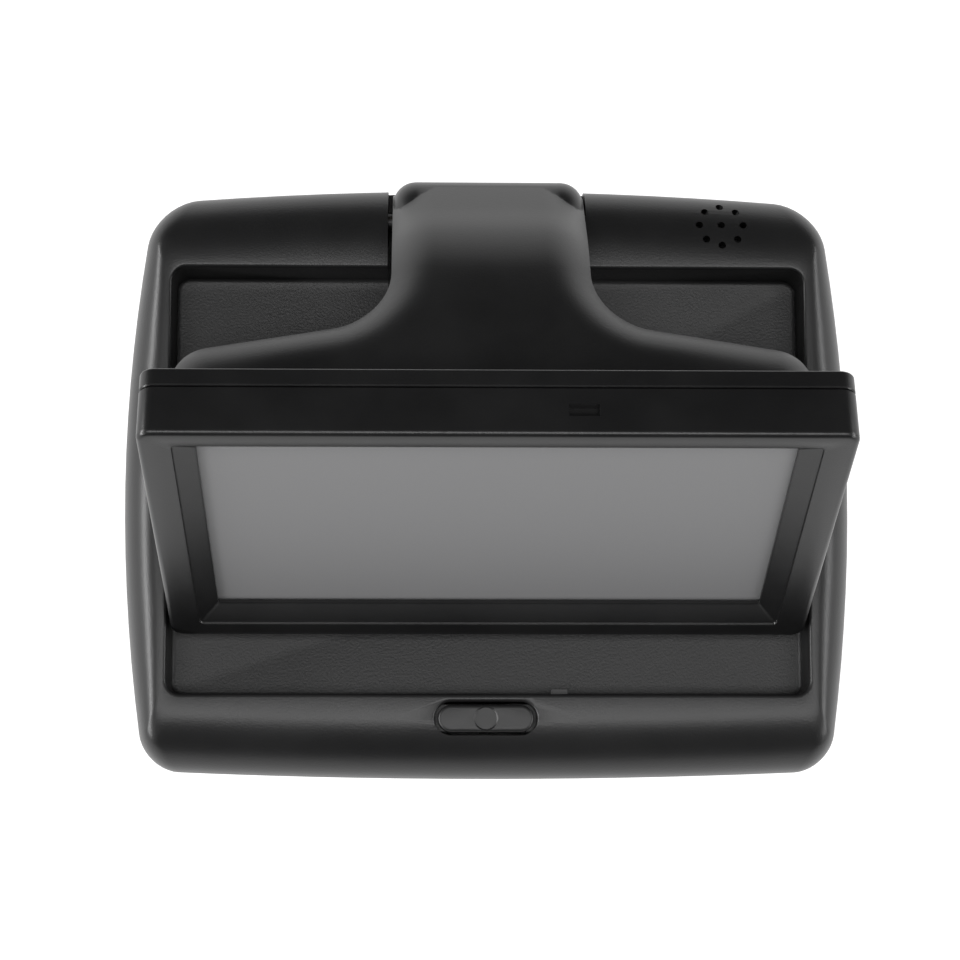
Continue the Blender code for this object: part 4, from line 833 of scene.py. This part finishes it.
def screen_rear():
    """The rear shell: a hollow lid with screw bosses and the two hinge ears."""
    low = SEAM_Z + 0.3 * MM
    rings = [at(screen_outline(0.2 * MM), low), at(screen_outline(0), low + 0.2 * MM)]
    rings += [at(screen_outline(inset), BACK_Z - depth) for inset, depth in rounded_edge(BACK_EDGE)]
    shell = new_piece("screen_rear_skin", grown(rings), SCREEN_PLASTIC)
    wall = screen_outline(SCREEN_WALL)
    cuts = [(grown([at(wall, low - CLEAR), at(wall, BACK_Z - 1.6 * MM)]), "DIFFERENCE")]
    screws = [TO_SCREEN.inverted() @ node_middle(f"screen_screw_{number}") for number in range(1, 5)]
    for x, y, _ in screws:
        cuts.append((cylinder((x, y, low), (x, y, BACK_Z - 1 * MM), SCREEN_BOSS_RADIUS, 32), "UNION"))
    for side in (-1, 1):
        x0, x1 = side * EAR_CENTRE - EAR_WIDTH / 2, side * EAR_CENTRE + EAR_WIDTH / 2
        foot = BACK_Z - 1.0 * MM
        knuckle = cylinder((x0, 0, 0), (x1, 0, 0), EAR_RADIUS, 48)
        web = box((x0, -EAR_RADIUS, foot), (x1, EAR_RADIUS, 0))
        cuts += [(knuckle, "UNION"), (web, "UNION"),
                 (cylinder((x0 - CLEAR, 0, 0), (x1 + CLEAR, 0, 0), BUSH_HOLE_RADIUS, 32), "DIFFERENCE")]
    foot = low - 4 * MM - BACK_Z
    countersink = [(0, foot), (SCREW_HOLE_RADIUS, foot), (SCREW_HOLE_RADIUS, -1.5 * MM), (2.2 * MM, -1.5 * MM),
                   (2.2 * MM, -0.25 * MM), (2.5 * MM, 0.05 * MM), (2.5 * MM, 2 * MM), (0, 2 * MM)]
    for x, y, _ in screws:
        cuts.append((turned(countersink, Matrix.Translation((x, y, BACK_Z))), "DIFFERENCE"))
    apply_cuts(shell, cuts)
    shell.data.transform(TO_SCREEN)
    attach(shell, "screen")
    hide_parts("screen_rear_shell")


# ---- Release button -----------------------------------------------------------------------------------
CAP_LENGTH = 17.0 * MM
CAP_WIDTH = 4.8 * MM
CAP_FOOT = RIM_TOP - 3.0 * MM
CAP_CROWN = 0.6 * MM
FLANGE_TOP = RIM_TOP - 2.65 * MM
FLANGE_THICKNESS = 0.7 * MM
STEM_RADIUS = 1.6 * MM
DISH_FLOOR = RIM_TOP - 0.22 * MM


def release_button():
    """The cap with a softly rounded rim and a shallow round dish, on its flange, stem and leg."""
    x, y = BUTTON_MIDDLE.x, BUTTON_MIDDLE.y
    rings = [at(stadium((x, y), CAP_LENGTH, CAP_WIDTH), CAP_FOOT)]
    for inset, depth in rounded_edge(CAP_CROWN, 5):
        rings.append(at(stadium((x, y), CAP_LENGTH - 2 * inset, CAP_WIDTH - 2 * inset), RIM_TOP - depth))
    button = new_piece("button_cap", grown(rings), BUTTON_PLASTIC)
    flange = box((BUTTON_LOW.x, y - 2.3 * MM, FLANGE_TOP - FLANGE_THICKNESS),
                 (BUTTON_HIGH.x, y + 2.6 * MM, FLANGE_TOP), 0.1 * MM)
    stem = cylinder((x, y, BUTTON_LOW.z), (x, y, FLANGE_TOP), STEM_RADIUS, 32)
    leg = box((4.5 * MM, y - 1.0 * MM, BUTTON_LOW.z + 0.001 * MM), (7.5 * MM, y + 1.0 * MM, FLANGE_TOP), 0.2 * MM)
    dish = cylinder((x, y, DISH_FLOOR), (x, y, RIM_TOP + 1 * MM), 1.9 * MM, 64, end_radius=3.4 * MM)
    apply_cuts(button, [(flange, "UNION"), (stem, "UNION"), (leg, "UNION"), (dish, "DIFFERENCE")])
    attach(button, "button")
    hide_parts("release_button")


# ---- CAD nodes that keep their shape ------------------------------------------------------------------
def dress(names, material):
    for name in names:
        mesh = NODES[name].data
        mesh.materials.clear()
        mesh.materials.append(material)


def numbered(stem, count):
    return [f"{stem}_{i}" for i in range(1, count + 1)]


def dress_frame():
    dress(["bottom_plate"], BASE_PLASTIC)
    dress(["arm_under_cover"], ARM_PLASTIC)
    dress(["latch_slider"], LATCH_PLASTIC)
    dress(["display_glass"], DISPLAY_FACE)
    dress(["backlit_panel"], BACKLIGHT)
    dress(["main_board", "driver_board"], BOARD)
    dress(["buzzer"], BUZZER_PLASTIC)
    dress(["adhesive_pad"], FOAM)
    dress(["cable_inlet_bush"], RUBBER)
    dress(["arm_hinge_sleeve", "screen_hinge_bush_left", "screen_hinge_bush_right"], BRASS)
    # The hinge pins get the steel darkened as painted shade for the hinge gaps.
    dress(["arm_hinge_pin", "screen_hinge_pin_left", "screen_hinge_pin_right"], SHADE_DARKENED_STEEL)
    dress(["button_spring", "latch_spring"], STEEL)
    for stem in ("base_screw", "arm_screw", "screen_screw"):
        dress(numbered(stem, 4), STEEL)


# ---- Stage --------------------------------------------------------------------------------------------
FLOOR_HALF_SIZE = 4.0
FLOOR_GLOW = 0.9
SKY_GLOW = 0.02
CAMERA_PLACE = Vector((-12.35, -63.66, 468.73)) * MM
CAMERA_RIGHT = Vector((0.99971, -0.00023, 0.02389))
CAMERA_FORWARD = Vector((0.02370, 0.13679, -0.99032))
CAMERA_LENS = 95.86
CAMERA_SENSOR = 36


def floor():
    bm = bmesh.new()
    bmesh.ops.create_grid(bm, x_segments=1, y_segments=1, size=FLOOR_HALF_SIZE)
    finish = Finish("pale_floor", (0.3, 0.3, 0.3), 0.9)
    finish.set("Emission Color", (1, 1, 1, 1))
    finish.set("Emission Strength", FLOOR_GLOW)
    finish.set("Specular IOR Level", 0.0)
    new_piece("floor", bm, finish.material)


def world():
    """A dark studio: one faint, even glow all round."""
    sky = bpy.data.worlds.new("studio")
    sky.use_nodes = True
    bpy.context.scene.world = sky
    background = sky.node_tree.nodes["Background"]
    background.inputs["Color"].default_value = (1, 1, 1, 1)
    background.inputs["Strength"].default_value = SKY_GLOW


def area_light(name, place, target, size, radiance):
    """A soft rectangular light of this radiance, size (width, height), facing the target."""
    lamp = bpy.data.lights.new(name, "AREA")
    lamp.shape = "RECTANGLE"
    lamp.size, lamp.size_y = size
    lamp.energy = radiance * size[0] * size[1] * math.pi
    obj = bpy.data.objects.new(name, lamp)
    bpy.context.scene.collection.objects.link(obj)
    obj.location = place
    obj.rotation_euler = (Vector(target) - Vector(place)).to_track_quat("-Z", "Y").to_euler()


def lights():
    area_light("overhead", (0, -0.12, 1.2), (0, 0, 0), (1.3, 0.42), 7.0)
    area_light("left_strip", (-1.1, -0.1, 0.42), (0, 0, 0), (1.5, 0.14), 42.0)
    area_light("right_strip", (1.1, -0.1, 0.45), (0, 0, 0), (1.5, 0.26), 13.0)


def camera():
    data = bpy.data.cameras.new("camera")
    data.lens = CAMERA_LENS
    data.sensor_width = CAMERA_SENSOR
    data.clip_start = 0.01
    obj = bpy.data.objects.new("camera", data)
    bpy.context.scene.collection.objects.link(obj)
    forward = CAMERA_FORWARD.normalized()
    up = CAMERA_RIGHT.cross(forward).normalized()
    right = forward.cross(up)
    turn = Matrix((right, up, -forward)).transposed()
    obj.matrix_world = Matrix.Translation(CAMERA_PLACE) @ turn.to_4x4()
    bpy.context.scene.camera = obj


camera()
base_cover()
arm_shell()
screen_front()
screen_rear()
release_button()
dress_frame()
floor()
world()
lights()
bpy.context.scene.view_settings.view_transform = "Standard"
